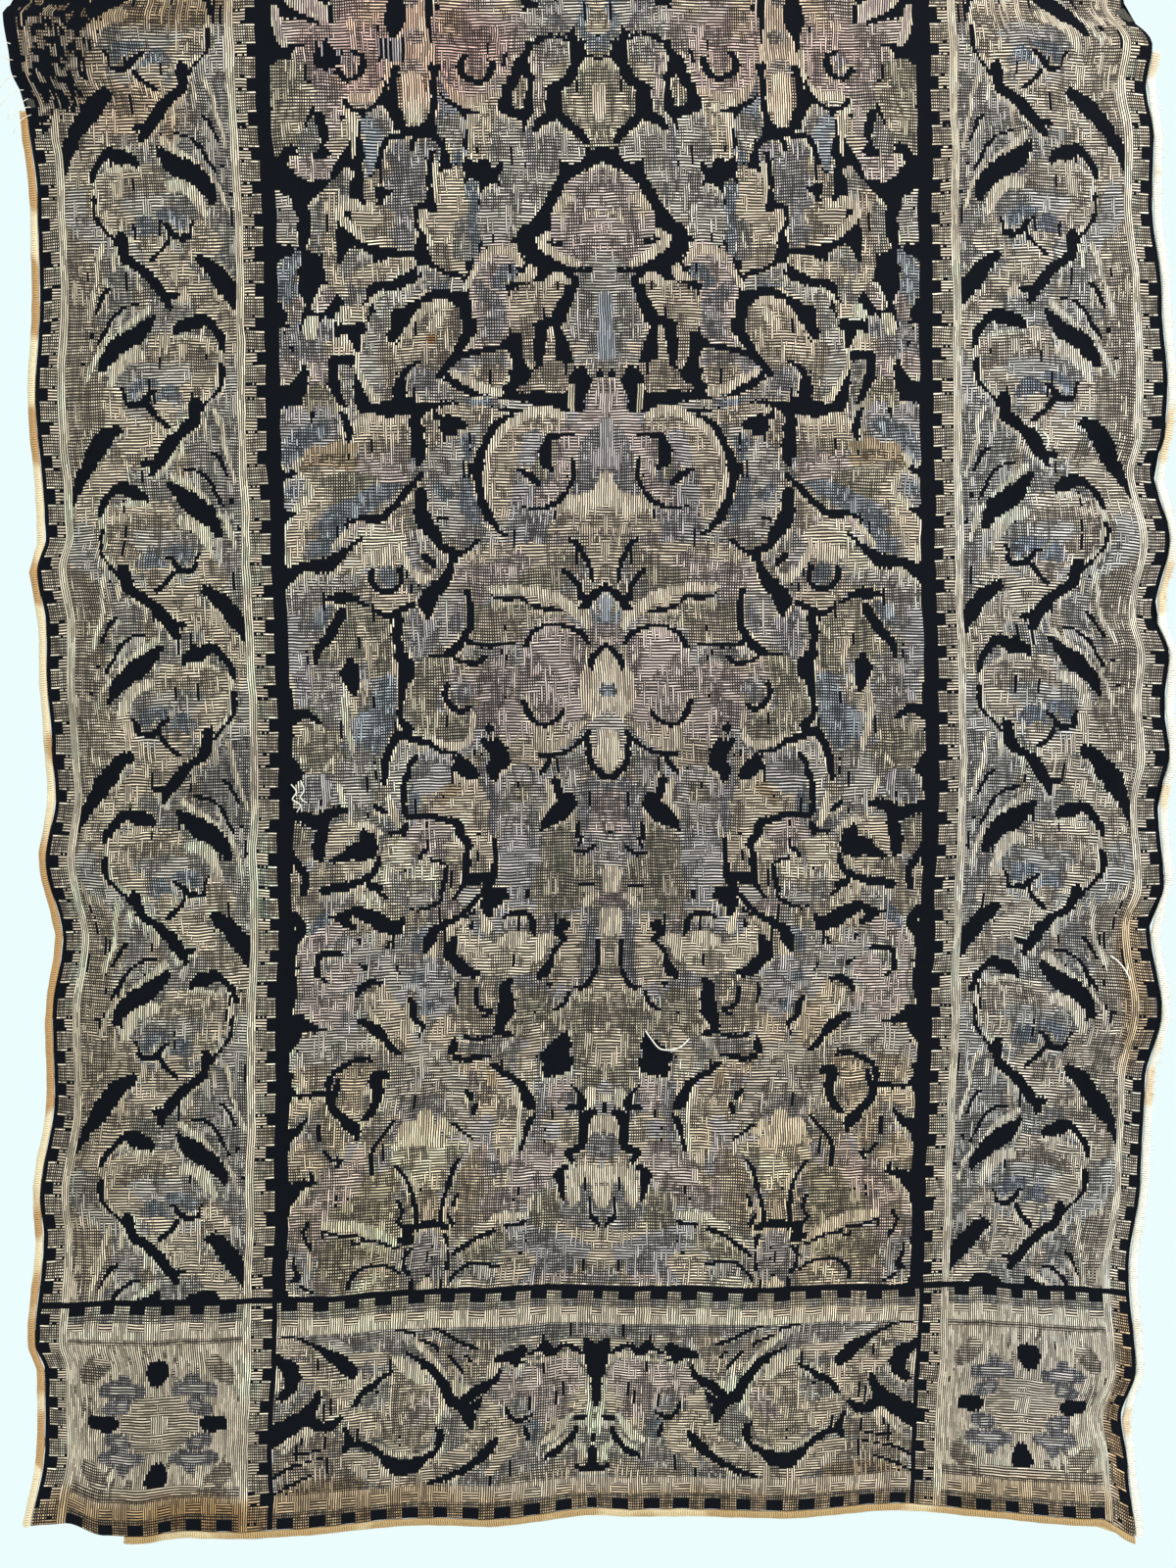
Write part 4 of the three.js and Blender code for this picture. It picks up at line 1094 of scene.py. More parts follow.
def work_in(chart, left, right, top, bottom):
    """Combs the upper edges of the figures into pile, and mixes rib and grid in patches."""
    place = ((cell_across > left) & (cell_across < right)
             & (cell_down > top) & (cell_down < bottom))
    depth = np.zeros(chart.shape, int)
    for row in range(1, PICKS):
        depth[row] = np.where(chart[row] == INK, 0, depth[row - 1] + 1)
    yarn = chart % 8
    weave = chart // 8
    patch = lattice_noise(cell_across, cell_down, 7, 41) + 0.8 * (teeth - 0.5)
    chart[place & (weave == RIB) & (patch > 0.22)] += 8
    chart[place & (weave == GRID) & (patch < -0.8)] -= 8
    fluffed = lattice_noise(cell_across, cell_down, 5, 44) + 1.2 * (long_teeth - 0.5)
    fluffed = place & (weave < PILE) & (fluffed > 0.62)
    chart[fluffed] = yarn[fluffed] + 8 * PILE
    weave = chart // 8
    solid = (chart == INK) & (np.roll(chart, 1, 0) == INK) & (np.roll(chart, 1, 1) == INK)
    beside = sum(np.roll(solid, (down, across), (0, 1)).astype(int)
                 for down in (-2, 1) for across in (-2, 1)) > 0
    rim = place & beside & (chart != INK) & (waxing > -0.35) & (teeth > 0.2)
    yarn = np.where(rim, YARNS.index("cream"), yarn)
    chart[rim] = yarn[rim] + 8 * weave[rim]
    combed = place & (depth > 0) & (depth < 1 + 5 * long_teeth) & (waxing > 0.02)
    chart[combed] = yarn[combed] + 8 * PILE
    dashes = place & (runs(6, 43) > 0.997 - 0.012 * (weave == GRID)) & (weave < PILE)
    chart[dashes] = INK


def weave_field(chart):
    """The right half of the field, mirrored about its middle."""
    chart[(cell_across > -1) & (cell_across < 177) & (cell_down < FIELD_DROP)] = INK
    ground = lattice_noise(cell_across, cell_down, 8, 31) + 0.6 * (long_teeth - 0.5)
    below = (cell_across > -1) & (cell_across < 170) & (cell_down > 236) & (cell_down < FIELD_DROP)
    chart[below] = yarn_code("stone grid")
    chart[below & (ground > 0.3)] = yarn_code("tan grid")
    chart[below & (ground < -0.3)] = yarn_code("lilac rib")
    for row in UPPER_FIGURES + MIDDLE_FIGURES + LOWER_FIGURES:
        stroke(chart, *row)
    work_in(chart, -1, 176, 0, FIELD_DROP)
    half = ENDS // 2
    chart[:, :half] = chart[:, half:][:, ::-1]


def weave_left_border(chart):
    """The upright border on the left: mirrored units of bud, leaf and stem."""
    fill(chart, -400, -171, 0, 900, "ink")
    fill(chart, -303, -FIELD_LINE, 0, FIELD_DROP, "stone grid")
    fill(chart, -BORDER_FROM, -270, 0, FIELD_DROP, "tan grid")
    for pass_of_ink in (False, True):
        for number in range(-4, 6):
            side = 1 - 2 * (number % 2)
            for name, *points in UNIT_FIGURES:
                if (name == "ink") == pass_of_ink:
                    stroke(chart, name, *[(side * x - UNIT_AXIS, 302 + UNIT * number + y, half)
                                          for x, y, half in points])
    work_in(chart, -BORDER_FROM, -194, 0, FIELD_DROP)
    fill(chart, -400, -292.5, 0, 900, "tan grid")
    fill(chart, -194, -FIELD_LINE, 0, 900, "tan grid")
    fill(chart, -FIELD_LINE, -171, 0, FIELD_DROP, "ink")


def weave_hem_band(chart):
    """The left half of the band along the hem, with the corner block."""
    band = (cell_across > -BORDER_FROM) & (cell_across < 0.1) & (cell_down > FIELD_DROP)
    chart[band] = yarn_code("tan grid")
    field_band = band & (cell_across > -176)
    chart[field_band & (cell_down > 735) & (cell_down < 828)] = yarn_code("stone grid")
    kept = chart.copy()
    for row in HEM_FIGURES:
        stroke(chart, *row)
    work_in(chart, -176, 0.1, 735, 828)
    outside = (cell_across < -176) | (cell_down < 734) | (cell_down > 829)
    chart[outside] = kept[outside]
    block = ((cell_across > -BORDER_FROM) & (cell_across < -BORDER_TO)
             & (cell_down > 738) & (cell_down < 830))
    chart[block] = yarn_code("cream pile")
    chart[block & (uneven > 0.2)] = yarn_code("tan pile")
    chart[block & (uneven < -0.9)] = yarn_code("tan grid")
    for side in (1, -1):
        for lift in (1, -1):
            for name, *points in CORNER_FIGURES:
                stroke(chart, name, *[(side * x - 243.5, 784.5 + lift * y, half)
                                      for x, y, half in points])
    fill(chart, -BORDER_FROM, -BORDER_TO, 821, 830, "tan grid")
    fill(chart, -268, -218, 820, 827, "tan rib")


def weave_stripes(chart):
    """Dentils and ribbed stripes beside the upright borders and above and below the hem band."""
    left_half = cell_across < 0.1
    band = ((cell_across > -BORDER_FROM) & left_half
            & ~((cell_across > -BORDER_TO) & (cell_across < -176)))
    phase = (cell_down - 206) % DENTIL_PITCH
    dark = (phase < 3.3) | (phase > DENTIL_PITCH - 3.3)
    from_middle = np.abs(phase - DENTIL_PITCH / 2)
    rim = ~dark & (from_middle > 4.0) & (teeth > 0.15)
    crease = (np.abs(from_middle - 5.6) < 0.8) & (teeth > 0.65)
    for near, far in ((-310, -302), (-183.5, -178)):
        column = (cell_across >= near) & (cell_across < far) & (cell_down < 842)
        chart[column & dark] = INK
        chart[column & ~dark] = yarn_code("tan grid")
        chart[column & rim] = yarn_code("cream rib")
    for near, far in ((-302, -296.5), (-190, -183.5)):
        column = (cell_across >= near) & (cell_across < far)
        chart[column & dark] = yarn_code("tan rib")
        chart[column & ~dark] = yarn_code("cream grid")
        chart[column & crease] = INK
    for near, far in ((-296.5, -BORDER_FROM), (-BORDER_TO, -190)):
        fill(chart, near, far, 0, 900, "cream pile")
    fill(chart, -310, -307.4, 0, 838, "ink")
    fill(chart, -FIELD_LINE, -176, FIELD_DROP, 900, "ink")
    fill(chart, -400, 0.1, FIELD_DROP, 716, "ink")
    dark = (np.abs(cell_across) - 2.8) % HEM_DENTIL_PITCH > 8.7
    for top, bottom, on_dark, on_light in (
            (716, 721, "ink", "cream grid"), (721, 726, "stone grid", "cream grid"),
            (726, 730, "tan rib", "cream pile"), (730, 735, "cream pile", "cream pile"),
            (828, 831, "tan pile", "tan pile"), (831, 837, "tan rib", "tan pile"),
            (837, 841, "stone grid", "tan grid"), (841, 900, "ink", "tan grid")):
        row = band & (cell_down >= top) & (cell_down < bottom)
        chart[row & dark] = yarn_code(on_dark)
        chart[row & ~dark] = yarn_code(on_light)
    fill(chart, -FIELD_LINE, -176, 842, 900, "ink")


def wear_through(chart):
    """The damaged places: a corner that has lost its picks, a slit and a hole in the field."""
    reach = np.hypot((cell_across + 314) / 46, (cell_down - 34) / 52) + uneven * 0.12
    lost = reach < 1
    scraps = lattice_noise(cell_across, cell_down, 3.2, 61) + 0.9 * (teeth - 0.5)
    chart[lost] = INK
    chart[lost & (scraps > 0.05)] = yarn_code("tan grid")
    chart[lost & (scraps > 0.42)] = yarn_code("stone pile")
    chart[lost & (cell_across < -303)] = INK
    chart[(np.abs(cell_across + 300 - 2 * waxing) < 0.7) & (cell_down < 76)] = yarn_code("cream pile")
    slit = np.hypot((cell_across + 142) / 7, (cell_down - 50) / 9) + uneven * 0.25 < 1
    chart[slit] = INK
    chart[slit & (runs(4, 62) > 0.8)] = yarn_code("blue pile")
    hole = (np.abs(cell_across + 108) < 6.5) & (np.abs(cell_down - 46) < 6.5 + uneven)
    chart[hole] = yarn_code("blue pile")
    chart[hole & (runs(9, 63) > 0.7)] = INK
    return chart


def weave_chart():
    chart = np.full(cell_across.shape, INK)
    weave_field(chart)
    field = chart.copy()
    weave_left_border(chart)
    weave_hem_band(chart)
    weave_stripes(chart)
    half = ENDS // 2
    chart[:, half:] = chart[:, :half][:, ::-1]
    inside = (np.abs(cell_across) < 171) & (cell_down < FIELD_DROP)
    chart[inside] = field[inside]
    return wear_through(chart)


# Yarn colours as light as their crowns, in linear values, by the yarns' order in the chart
YARN_COLOURS = np.array([
    (0.810, 0.655, 0.500), (0.990, 0.820, 0.630), (0.750, 0.600, 0.540), (0.600, 0.545, 0.535),
    (0.460, 0.480, 0.515), (0.640, 0.550, 0.410), (0.670, 0.600, 0.530), (0.560, 0.410, 0.270),
])

# The four cells of each face of the cloth's front, row by row
CELL_NAMES = ["upper_left", "upper_right", "lower_left", "lower_right"]


class Amount:
    """A number in a material, with the signs of arithmetic."""

    def __init__(self, finish, socket):
        self.finish = finish
        self.socket = socket

    def worked(self, operation, *values):
        settings = {"operation": operation}
        inputs = dict(enumerate(values))
        return self.finish.node("ShaderNodeMath", settings, inputs).amount()

    def __add__(self, other):
        return self.worked("ADD", self, other)

    def __radd__(self, other):
        return self.worked("ADD", other, self)

    def __sub__(self, other):
        return self.worked("SUBTRACT", self, other)

    def __rsub__(self, other):
        return self.worked("SUBTRACT", other, self)

    def __mul__(self, other):
        return self.worked("MULTIPLY", self, other)

    def __rmul__(self, other):
        return self.worked("MULTIPLY", other, self)

    def __truediv__(self, other):
        return self.worked("DIVIDE", self, other)

    def __mod__(self, other):
        return self.worked("FLOORED_MODULO", self, other)

    def __gt__(self, other):
        return self.worked("GREATER_THAN", self, other)

    def __lt__(self, other):
        return self.worked("LESS_THAN", self, other)

    def whole(self):
        return self.worked("FLOOR", self)

    def size(self):
        return self.worked("ABSOLUTE", self)

    def between(self, low, high):
        """0 below low, 1 above high, and eased in between."""
        settings = {"interpolation_type": "SMOOTHSTEP"}
        inputs = {"Value": self, "From Min": low, "From Max": high}
        return self.finish.node("ShaderNodeMapRange", settings, inputs).amount()


class Placed:
    """A node in a material and ways to take its results."""

    def __init__(self, finish, node):
        self.finish = finish
        self.node = node

    def amount(self, output=0):
        return Amount(self.finish, self.node.outputs[output])

    def link(self, output=0):
        return self.node.outputs[output]


class Finish:
    """A material as it is put together."""

    def __init__(self, name, roughness):
        self.material = bpy.data.materials.new(name)
        self.material.use_nodes = True
        self.tree = self.material.node_tree
        self.shader = self.tree.nodes["Principled BSDF"]
        self.shader.inputs["Roughness"].default_value = roughness
        self.shader.inputs["Specular IOR Level"].default_value = 0.06

    def node(self, kind, settings=None, inputs=None):
        node = self.tree.nodes.new(kind)
        for name, value in (settings or {}).items():
            setattr(node, name, value)
        for name, value in (inputs or {}).items():
            self.feed(node.inputs[name], value)
        return Placed(self, node)

    def feed(self, socket, value):
        if isinstance(value, Amount):
            value = value.socket
        if isinstance(value, bpy.types.NodeSocket):
            self.tree.links.new(value, socket)
        else:
            socket.default_value = value

    def mixed(self, factor, first, second):
        """A colour between two others."""
        return self.node("ShaderNodeMix", {"data_type": "RGBA"},
                         {0: factor, 6: first, 7: second}).link(2)

    def shaded(self, colour, amount):
        """A colour made darker or lighter by a number."""
        grey = self.node("ShaderNodeCombineColor", None,
                         {0: amount, 1: amount, 2: amount}).link()
        return self.node("ShaderNodeMix", {"data_type": "RGBA", "blend_type": "MULTIPLY"},
                         {0: 1.0, 6: colour, 7: grey}).link(2)

    def noise(self, place, scale, detail=2.0):
        settings = {"noise_dimensions": "3D"}
        inputs = {"Vector": place, "Scale": scale, "Detail": detail}
        return self.node("ShaderNodeTexNoise", settings, inputs).amount()

    def at(self, across, down, third=0.0):
        return self.node("ShaderNodeCombineXYZ", None, {0: across, 1: down, 2: third}).link()

    def dice(self, across, down):
        """A number that differs from cell to cell."""
        return self.node("ShaderNodeTexWhiteNoise", {"noise_dimensions": "2D"},
                         {"Vector": self.at(across, down)}).amount()

    def bump(self, height, distance):
        link = self.node("ShaderNodeBump", None, {"Height": height, "Distance": distance}).link()
        self.feed(self.shader.inputs["Normal"], link)


def woven_yarns():
    """The front of the cloth: its UV map counts warp ends across and picks down."""
    finish = Finish("woven yarns", 0.85)
    weave_map = finish.node("ShaderNodeUVMap", {"uv_map": "weave"}).link()
    split = finish.node("ShaderNodeSeparateXYZ", None, {0: weave_map})
    ends, picks = split.amount(0), split.amount(1)
    cells = []
    for name in CELL_NAMES:
        cell = finish.node("ShaderNodeAttribute", {"attribute_name": name})
        cells.append((cell.link(0), cell.amount(3)))
    lower = (picks / 2) % 1 > 0.5
    right = (ends / 2) % 1 > 0.5
    upper_colour = finish.mixed(right, cells[0][0], cells[1][0])
    lower_colour = finish.mixed(right, cells[2][0], cells[3][0])
    colour = finish.mixed(lower, upper_colour, lower_colour)
    upper_weave = cells[0][1] * (1 - right) + cells[1][1] * right
    lower_weave = cells[2][1] * (1 - right) + cells[3][1] * right
    weave = upper_weave * (1 - lower) + lower_weave * lower
    runs_across = weave < 0.5
    is_ink = weave > 2.5
    runs_down = (weave > 1.5) * (1 - is_ink)
    crooked = finish.noise(finish.at(ends * 0.11, picks * 0.13), 1.0) - 0.5
    wander = finish.noise(finish.at(ends * 0.03, picks * 0.6), 1.0) - 0.5
    across_yarn = 1 - (((picks + crooked * 0.5) % 1) * 2 - 1).size()
    down_yarn = 1 - (((ends + wander * 0.3) % 1) * 2 - 1).size()
    # painted shading of each thread: its crown is lightest, and its sides and the gaps between threads
    # fall to dark. The dark is partly the dark ground yarn that shows between threads and partly painted
    # shade between them
    rib = across_yarn.between(0.46, 0.72)
    rod = down_yarn.between(0.38, 0.68)
    spare = finish.dice(ends.whole(), (picks / 6 + ends.whole() * 0.61).whole()) * 0.42
    bead = across_yarn.between(0.38, 0.64) * (down_yarn - spare).between(0.22, 0.48)
    lit = rib * runs_across + rod * runs_down + bead * (1 - runs_across - runs_down)
    lit = lit * (1 - is_ink)
    along = finish.dice((ends / 5 + picks.whole() * 0.37).whole(), picks.whole())
    beside = finish.dice(ends.whole(), (picks / 5 + ends.whole() * 0.37).whole())
    thread = (along * (1 - runs_down) + beside * runs_down) * 0.8 + 0.5
    fuzz = finish.noise(finish.at(ends * 3, picks * 2), 1.0, 3.0) * 0.5 + 0.75
    crown = finish.shaded(colour, thread * fuzz)
    # between the threads: partly the dark ground yarn, partly painted shade in the gaps
    gap_ground_and_shade = finish.mixed(0.025, (0.006, 0.006, 0.008, 1), colour)
    twill = 1 - (((ends + picks) % 1) * 2 - 1).size()
    ink = finish.mixed(twill.between(0.2, 0.9), (0.0015, 0.0020, 0.0032, 1),
                       (0.0056, 0.0072, 0.0118, 1))
    ground = finish.mixed(is_ink, gap_ground_and_shade, ink)
    finish.feed(finish.shader.inputs["Base Color"], finish.mixed(lit, ground, crown))
    height = lit * (0.8 + fuzz * 0.2) + is_ink * twill * 0.3
    finish.bump(height, 0.0005)
    return finish.material


def reverse_of_weave():
    """The back of the cloth, which the photo doesn't show: floats of the same yarns."""
    finish = Finish("reverse of the weave", 0.9)
    weave_map = finish.node("ShaderNodeUVMap", {"uv_map": "weave"}).link()
    split = finish.node("ShaderNodeSeparateXYZ", None, {0: weave_map})
    ends, picks = split.amount(0), split.amount(1)
    rod = (1 - ((ends % 1) * 2 - 1).size()).between(0.1, 0.7)
    patch = finish.noise(finish.at(ends * 0.05, picks * 0.02), 1.0, 3.0).between(0.3, 0.7)
    thread = finish.dice(ends.whole(), (picks / 7).whole()) * 0.5 + 0.6
    warp = finish.shaded((0.185, 0.165, 0.130, 1), thread)
    dark = finish.shaded((0.085, 0.085, 0.088, 1), thread)
    both = finish.mixed(patch, dark, warp)
    # the near-black lines between the warp floats are painted shade in the grooves between threads
    finish.feed(finish.shader.inputs["Base Color"],
                finish.mixed(rod, (0.01, 0.01, 0.012, 1), both))
    finish.bump(rod, 0.0004)
    return finish.material


def overcast_thread(name, colour, worn, share):
    """Overcast thread: its own colour, with stretches of a second one."""
    finish = Finish(name, 0.8)
    place = finish.node("ShaderNodeTexCoord").link("Object")
    patch = finish.noise(place, 26.0, 1.0).between(share - 0.04, share + 0.04)
    fibre = finish.noise(place, 1400.0, 2.0)
    shade = fibre * 0.7 + 0.6
    both = finish.mixed(patch, colour, worn)
    finish.feed(finish.shader.inputs["Base Color"], finish.shaded(both, shade))
    finish.bump(fibre, 0.0002)
    return finish.material


def plain_finish(name, colour, roughness):
    finish = Finish(name, roughness)
    finish.shader.inputs["Base Color"].default_value = colour
    return finish.material


# How far each weave stands above the dark ground, in millimetres
RELIEF = {"rib": 0.5, "grid": 0.35, "pile": 0.6, "ink": 0.0}
BURIED = 0.25
PUCKER_RISE = 0.6
FACE_ROWS, FACE_COLUMNS = PICKS // 2, ENDS // 2
BACK_COLUMN_STEP, BACK_ROW_STEP = 4, 5


def new_piece(name, points, faces, materials, smooth_faces=True):
    mesh = bpy.data.meshes.new(name)
    mesh.from_pydata(np.asarray(points, float).tolist(), [], faces)
    for material in materials:
        mesh.materials.append(material)
    mesh.polygons.foreach_set("use_smooth", [smooth_faces] * len(mesh.polygons))
    mesh.update()
    piece = bpy.data.objects.new(name, mesh)
    bpy.context.scene.collection.objects.link(piece)
    return piece


def cloth_places():
    """Flat places of the corners of the cells: the pattern's own drift is worked in."""
    across = np.arange(FACE_COLUMNS + 1) * 2 * END - FLAT_WIDTH / 2
    down = np.arange(FACE_ROWS + 1) * 2 * PICK
    across, down = np.meshgrid(across, down)
    inner = np.clip(1 - (across / 171) ** 2, 0, 1)
    inner = inner * smooth((720 - down) / 12)
    drift = eased(PATTERN_AXIS, 1, down) * inner
    edge = np.minimum(np.minimum(FLAT_WIDTH / 2 - np.abs(across), FLAT_DROP - down), down)
    free = smooth(edge / 20)
    wave = lattice_noise(across, down, 26, 3) * 0.9 + lattice_noise(across, down, 9, 4) * 0.45
    lift = lattice_noise(across, down, 30, 5) * 0.9 + lattice_noise(across, down, 9, 6) * 0.45
    return across + drift + free * wave, down + free * lift


# Stains, wear, fading and tone that differs from place to place, and on the right border a painted cool
# tint of the light that falls from the right: across, down, half width, half drop, tint, share
STAINS_AND_PAINTED_LIGHT = [
    (-250, 843, 78, 20, (0.76, 0.62, 0.44), 0.9),
    (-150, 838, 110, 13, (0.80, 0.67, 0.50), 0.8),
    (60, 846, 190, 12, (0.84, 0.72, 0.56), 0.8),
    (250, 842, 60, 18, (0.80, 0.68, 0.50), 0.7),
    (-243, 780, 44, 36, (0.90, 0.90, 0.90), 1.0),
    (243, 780, 44, 36, (0.90, 0.90, 0.92), 1.0),
    (306, 780, 9, 70, (0.80, 0.62, 0.42), 0.9),
    (296, 545, 10, 52, (0.82, 0.66, 0.46), 0.8),
    (-204, 425, 34, 24, (0.72, 0.72, 0.74), 0.9),
    (-183, 492, 7, 28, (1.22, 1.20, 1.16), 0.9),
    (-98, 46, 56, 34, (1.00, 0.80, 0.78), 0.9),
    (98, 46, 50, 34, (1.00, 0.88, 0.86), 0.7),
    (0, 330, 120, 200, (0.90, 0.89, 0.91), 0.9),
    (0, 785, 150, 34, (1.08, 1.08, 1.05), 1.0),
    # painted light: the right border is tinted cooler and greyer for the light that falls on it from the
    # right
    (256, 430, 80, 430, (0.98, 1.03, 1.12), 1.0),
    (-243, 400, 50, 330, (1.05, 1.05, 1.03), 1.0),
    (-300, 40, 46, 44, (0.62, 0.56, 0.50), 1.0),
    (-245, 22, 60, 14, (0.70, 0.60, 0.48), 0.9),
    (-92, 197, 3, 3, (0.45, 0.26, 0.14), 1.0),
    (-246, 78, 34, 18, (0.98, 0.86, 0.78), 0.8),
    (-282, 620, 18, 90, (0.88, 0.84, 0.78), 0.6),
    (120, 640, 60, 90, (1.05, 0.96, 0.84), 0.7),
    (-120, 650, 60, 90, (1.05, 0.98, 0.86), 0.7),
]


def yarn_shares(codes, across, down):
    """Colour of a cell's yarn, as light as its crown, with how far it has faded or soiled, and the painted
    cool light on the right border.
    """
    colours = YARN_COLOURS[codes % 8]
    dusty = (1 + 0.09 * lattice_noise(across, down, 58, 51) + 0.08 * lattice_noise(across, down, 19, 52)
             + 0.08 * lattice_noise(across, down, 6, 53))
    colours = colours * dusty[..., None]
    for left, top, half_width, half_drop, tint, share in STAINS_AND_PAINTED_LIGHT:
        reach = np.hypot((across - left) / half_width, (down - top) / half_drop)
        reach = reach + 0.16 * lattice_noise(across, down, 14, 54)
        part = share * smooth((1.25 - reach) / 0.6)
        colours = colours * (1 + part[..., None] * (np.array(tint) - 1))
    return np.clip(colours, 0, 0.98)


def tapestry_panel(front, reverse):
    codes = weave_chart()
    across, down = cloth_places()
    middle = hung(across, down)
    to_right = np.gradient(middle, axis=1)
    to_hem = np.gradient(middle, axis=0)
    forward = np.cross(to_hem, to_right)
    forward /= np.linalg.norm(forward, axis=-1, keepdims=True)
    forward *= -np.sign(forward[..., 1:2])
    heights = np.array([RELIEF[name] for name in WEAVES])[codes // 8]
    cells = heights.reshape(FACE_ROWS, 2, FACE_COLUMNS, 2).mean((1, 3))
    padded = np.pad(cells, 1, mode="edge")
    relief = (padded[:-1, :-1] + padded[1:, :-1] + padded[:-1, 1:] + padded[1:, 1:]) / 4
    pucker = (lattice_noise(across, down, 16, 7) * 0.5 + lattice_noise(across, down, 7, 8) * 0.3)
    rise = (CLOTH_THICKNESS / 2 - BURIED + relief + pucker * PUCKER_RISE) / 1000
    front_points = middle + forward * rise[..., None]
    coarse = (slice(None, None, BACK_ROW_STEP), slice(None, None, BACK_COLUMN_STEP))
    back_points = middle[coarse] - forward[coarse] * CLOTH_THICKNESS / 2000
    points = np.vstack([front_points.reshape(-1, 3), back_points.reshape(-1, 3)])
    wide = FACE_COLUMNS + 1
    back_rows, back_columns = back_points.shape[:2]
    start = front_points.shape[0] * wide

    row, column = np.meshgrid(np.arange(FACE_ROWS), np.arange(FACE_COLUMNS), indexing="ij")
    corner = (row * wide + column).ravel()
    faces = np.stack([corner + wide, corner + wide + 1, corner + 1, corner], 1).tolist()
    front_count = len(faces)
    row, column = np.meshgrid(np.arange(back_rows - 1), np.arange(back_columns - 1),
                              indexing="ij")
    corner = (start + row * back_columns + column).ravel()
    faces += np.stack([corner, corner + 1, corner + back_columns + 1, corner + back_columns],
                      1).tolist()

    def fine(place_row, place_column):
        return place_row * wide + place_column

    def back(place_row, place_column):
        return start + place_row * back_columns + place_column

    for k in range(back_rows - 1):
        run = range(k * BACK_ROW_STEP, (k + 1) * BACK_ROW_STEP + 1)
        faces.append([fine(j, 0) for j in run] + [back(k + 1, 0), back(k, 0)])
        faces.append([fine(j, FACE_COLUMNS) for j in reversed(run)]
                     + [back(k, back_columns - 1), back(k + 1, back_columns - 1)])
    for k in range(back_columns - 1):
        run = range(k * BACK_COLUMN_STEP, (k + 1) * BACK_COLUMN_STEP + 1)
        faces.append([fine(0, i) for i in reversed(run)] + [back(0, k), back(0, k + 1)])
        faces.append([fine(FACE_ROWS, i) for i in run]
                     + [back(back_rows - 1, k + 1), back(back_rows - 1, k)])

    piece = new_piece("woven_cloth_panel", points, faces, [front, reverse])
    mesh = piece.data
    slots = np.ones(len(faces), int)
    slots[:front_count] = 0
    mesh.polygons.foreach_set("material_index", slots)

    # The map that counts ends and picks, on every vertex
    ends, picks = np.meshgrid(np.arange(FACE_COLUMNS + 1) * 2.0, np.arange(FACE_ROWS + 1) * 2.0)
    counted = np.stack([ends, picks], -1)
    counted = np.vstack([counted.reshape(-1, 2), counted[coarse].reshape(-1, 2)])
    vertex = np.empty(len(mesh.loops), int)
    mesh.loops.foreach_get("vertex_index", vertex)
    weave_map = mesh.uv_layers.new(name="weave")
    weave_map.data.foreach_set("uv", counted[vertex].ravel())

    colours = yarn_shares(codes, cell_across, cell_down)
    for k, name in enumerate(CELL_NAMES):
        quarter = (slice(k // 2, None, 2), slice(k % 2, None, 2))
        cell = np.ones((len(faces), 4))
        cell[:front_count, :3] = colours[quarter].reshape(-1, 3)
        cell[:front_count, 3] = (codes[quarter] // 8).ravel()
        held = mesh.attributes.new(name, "FLOAT_COLOR", "FACE")
        held.data.foreach_set("color", cell.ravel())
    return piece


# The overcast thread, in millimetres
STITCH_PITCH = 1.25
THREAD_HALF = 0.62
THREAD_SIDES = 5
STEPS_PER_TURN = 12

# The flat core under it: where its three cords lie, their half thickness, sides and steps
CORE_PLACES = (-1.1, 0.0, 1.1)
CORE_HALF = 0.9
CORE_SIDES = 6
CORE_STEP = 12


def even_steps(points, step):
    """Points along a line at even steps, with how far each lies along it."""
    gone = np.concatenate([[0], np.cumsum(np.linalg.norm(np.diff(points, axis=0), axis=1))])
    count = max(int(gone[-1] / step), 1)
    places = np.linspace(0, gone[-1], count + 1)
    line = np.stack([np.interp(places, gone, points[:, k]) for k in range(3)], 1)
    return line, places


def tube(line, half, sides, start):
    """Points and faces of a closed round cord along a line; half may differ from step to step."""
    ahead = np.gradient(line, axis=0)
    ahead /= np.linalg.norm(ahead, axis=1, keepdims=True) + 1e-12
    side = np.zeros_like(line)
    held = np.array([0.3, 0.9, 0.2])
    for k, along in enumerate(ahead):
        held = held - along * held.dot(along)
        held /= np.linalg.norm(held)
        side[k] = held
    other = np.cross(ahead, side)
    turn = np.arange(sides) * 2 * np.pi / sides
    half = np.broadcast_to(np.asarray(half, float), (len(line),))
    ring = (side[:, None] * np.cos(turn)[None, :, None]
            + other[:, None] * np.sin(turn)[None, :, None]) * half[:, None, None]
    points = (line[:, None] + ring).reshape(-1, 3)
    row, column = np.meshgrid(np.arange(len(line) - 1), np.arange(sides), indexing="ij")
    after = (column + 1) % sides
    faces = np.stack([row * sides + column, row * sides + after, (row + 1) * sides + after,
                      (row + 1) * sides + column], -1).reshape(-1, 4) + start
    faces = faces.tolist()
    faces.append([start + k for k in reversed(range(sides))])
    faces.append([start + (len(line) - 1) * sides + k for k in range(sides)])
    return points, faces


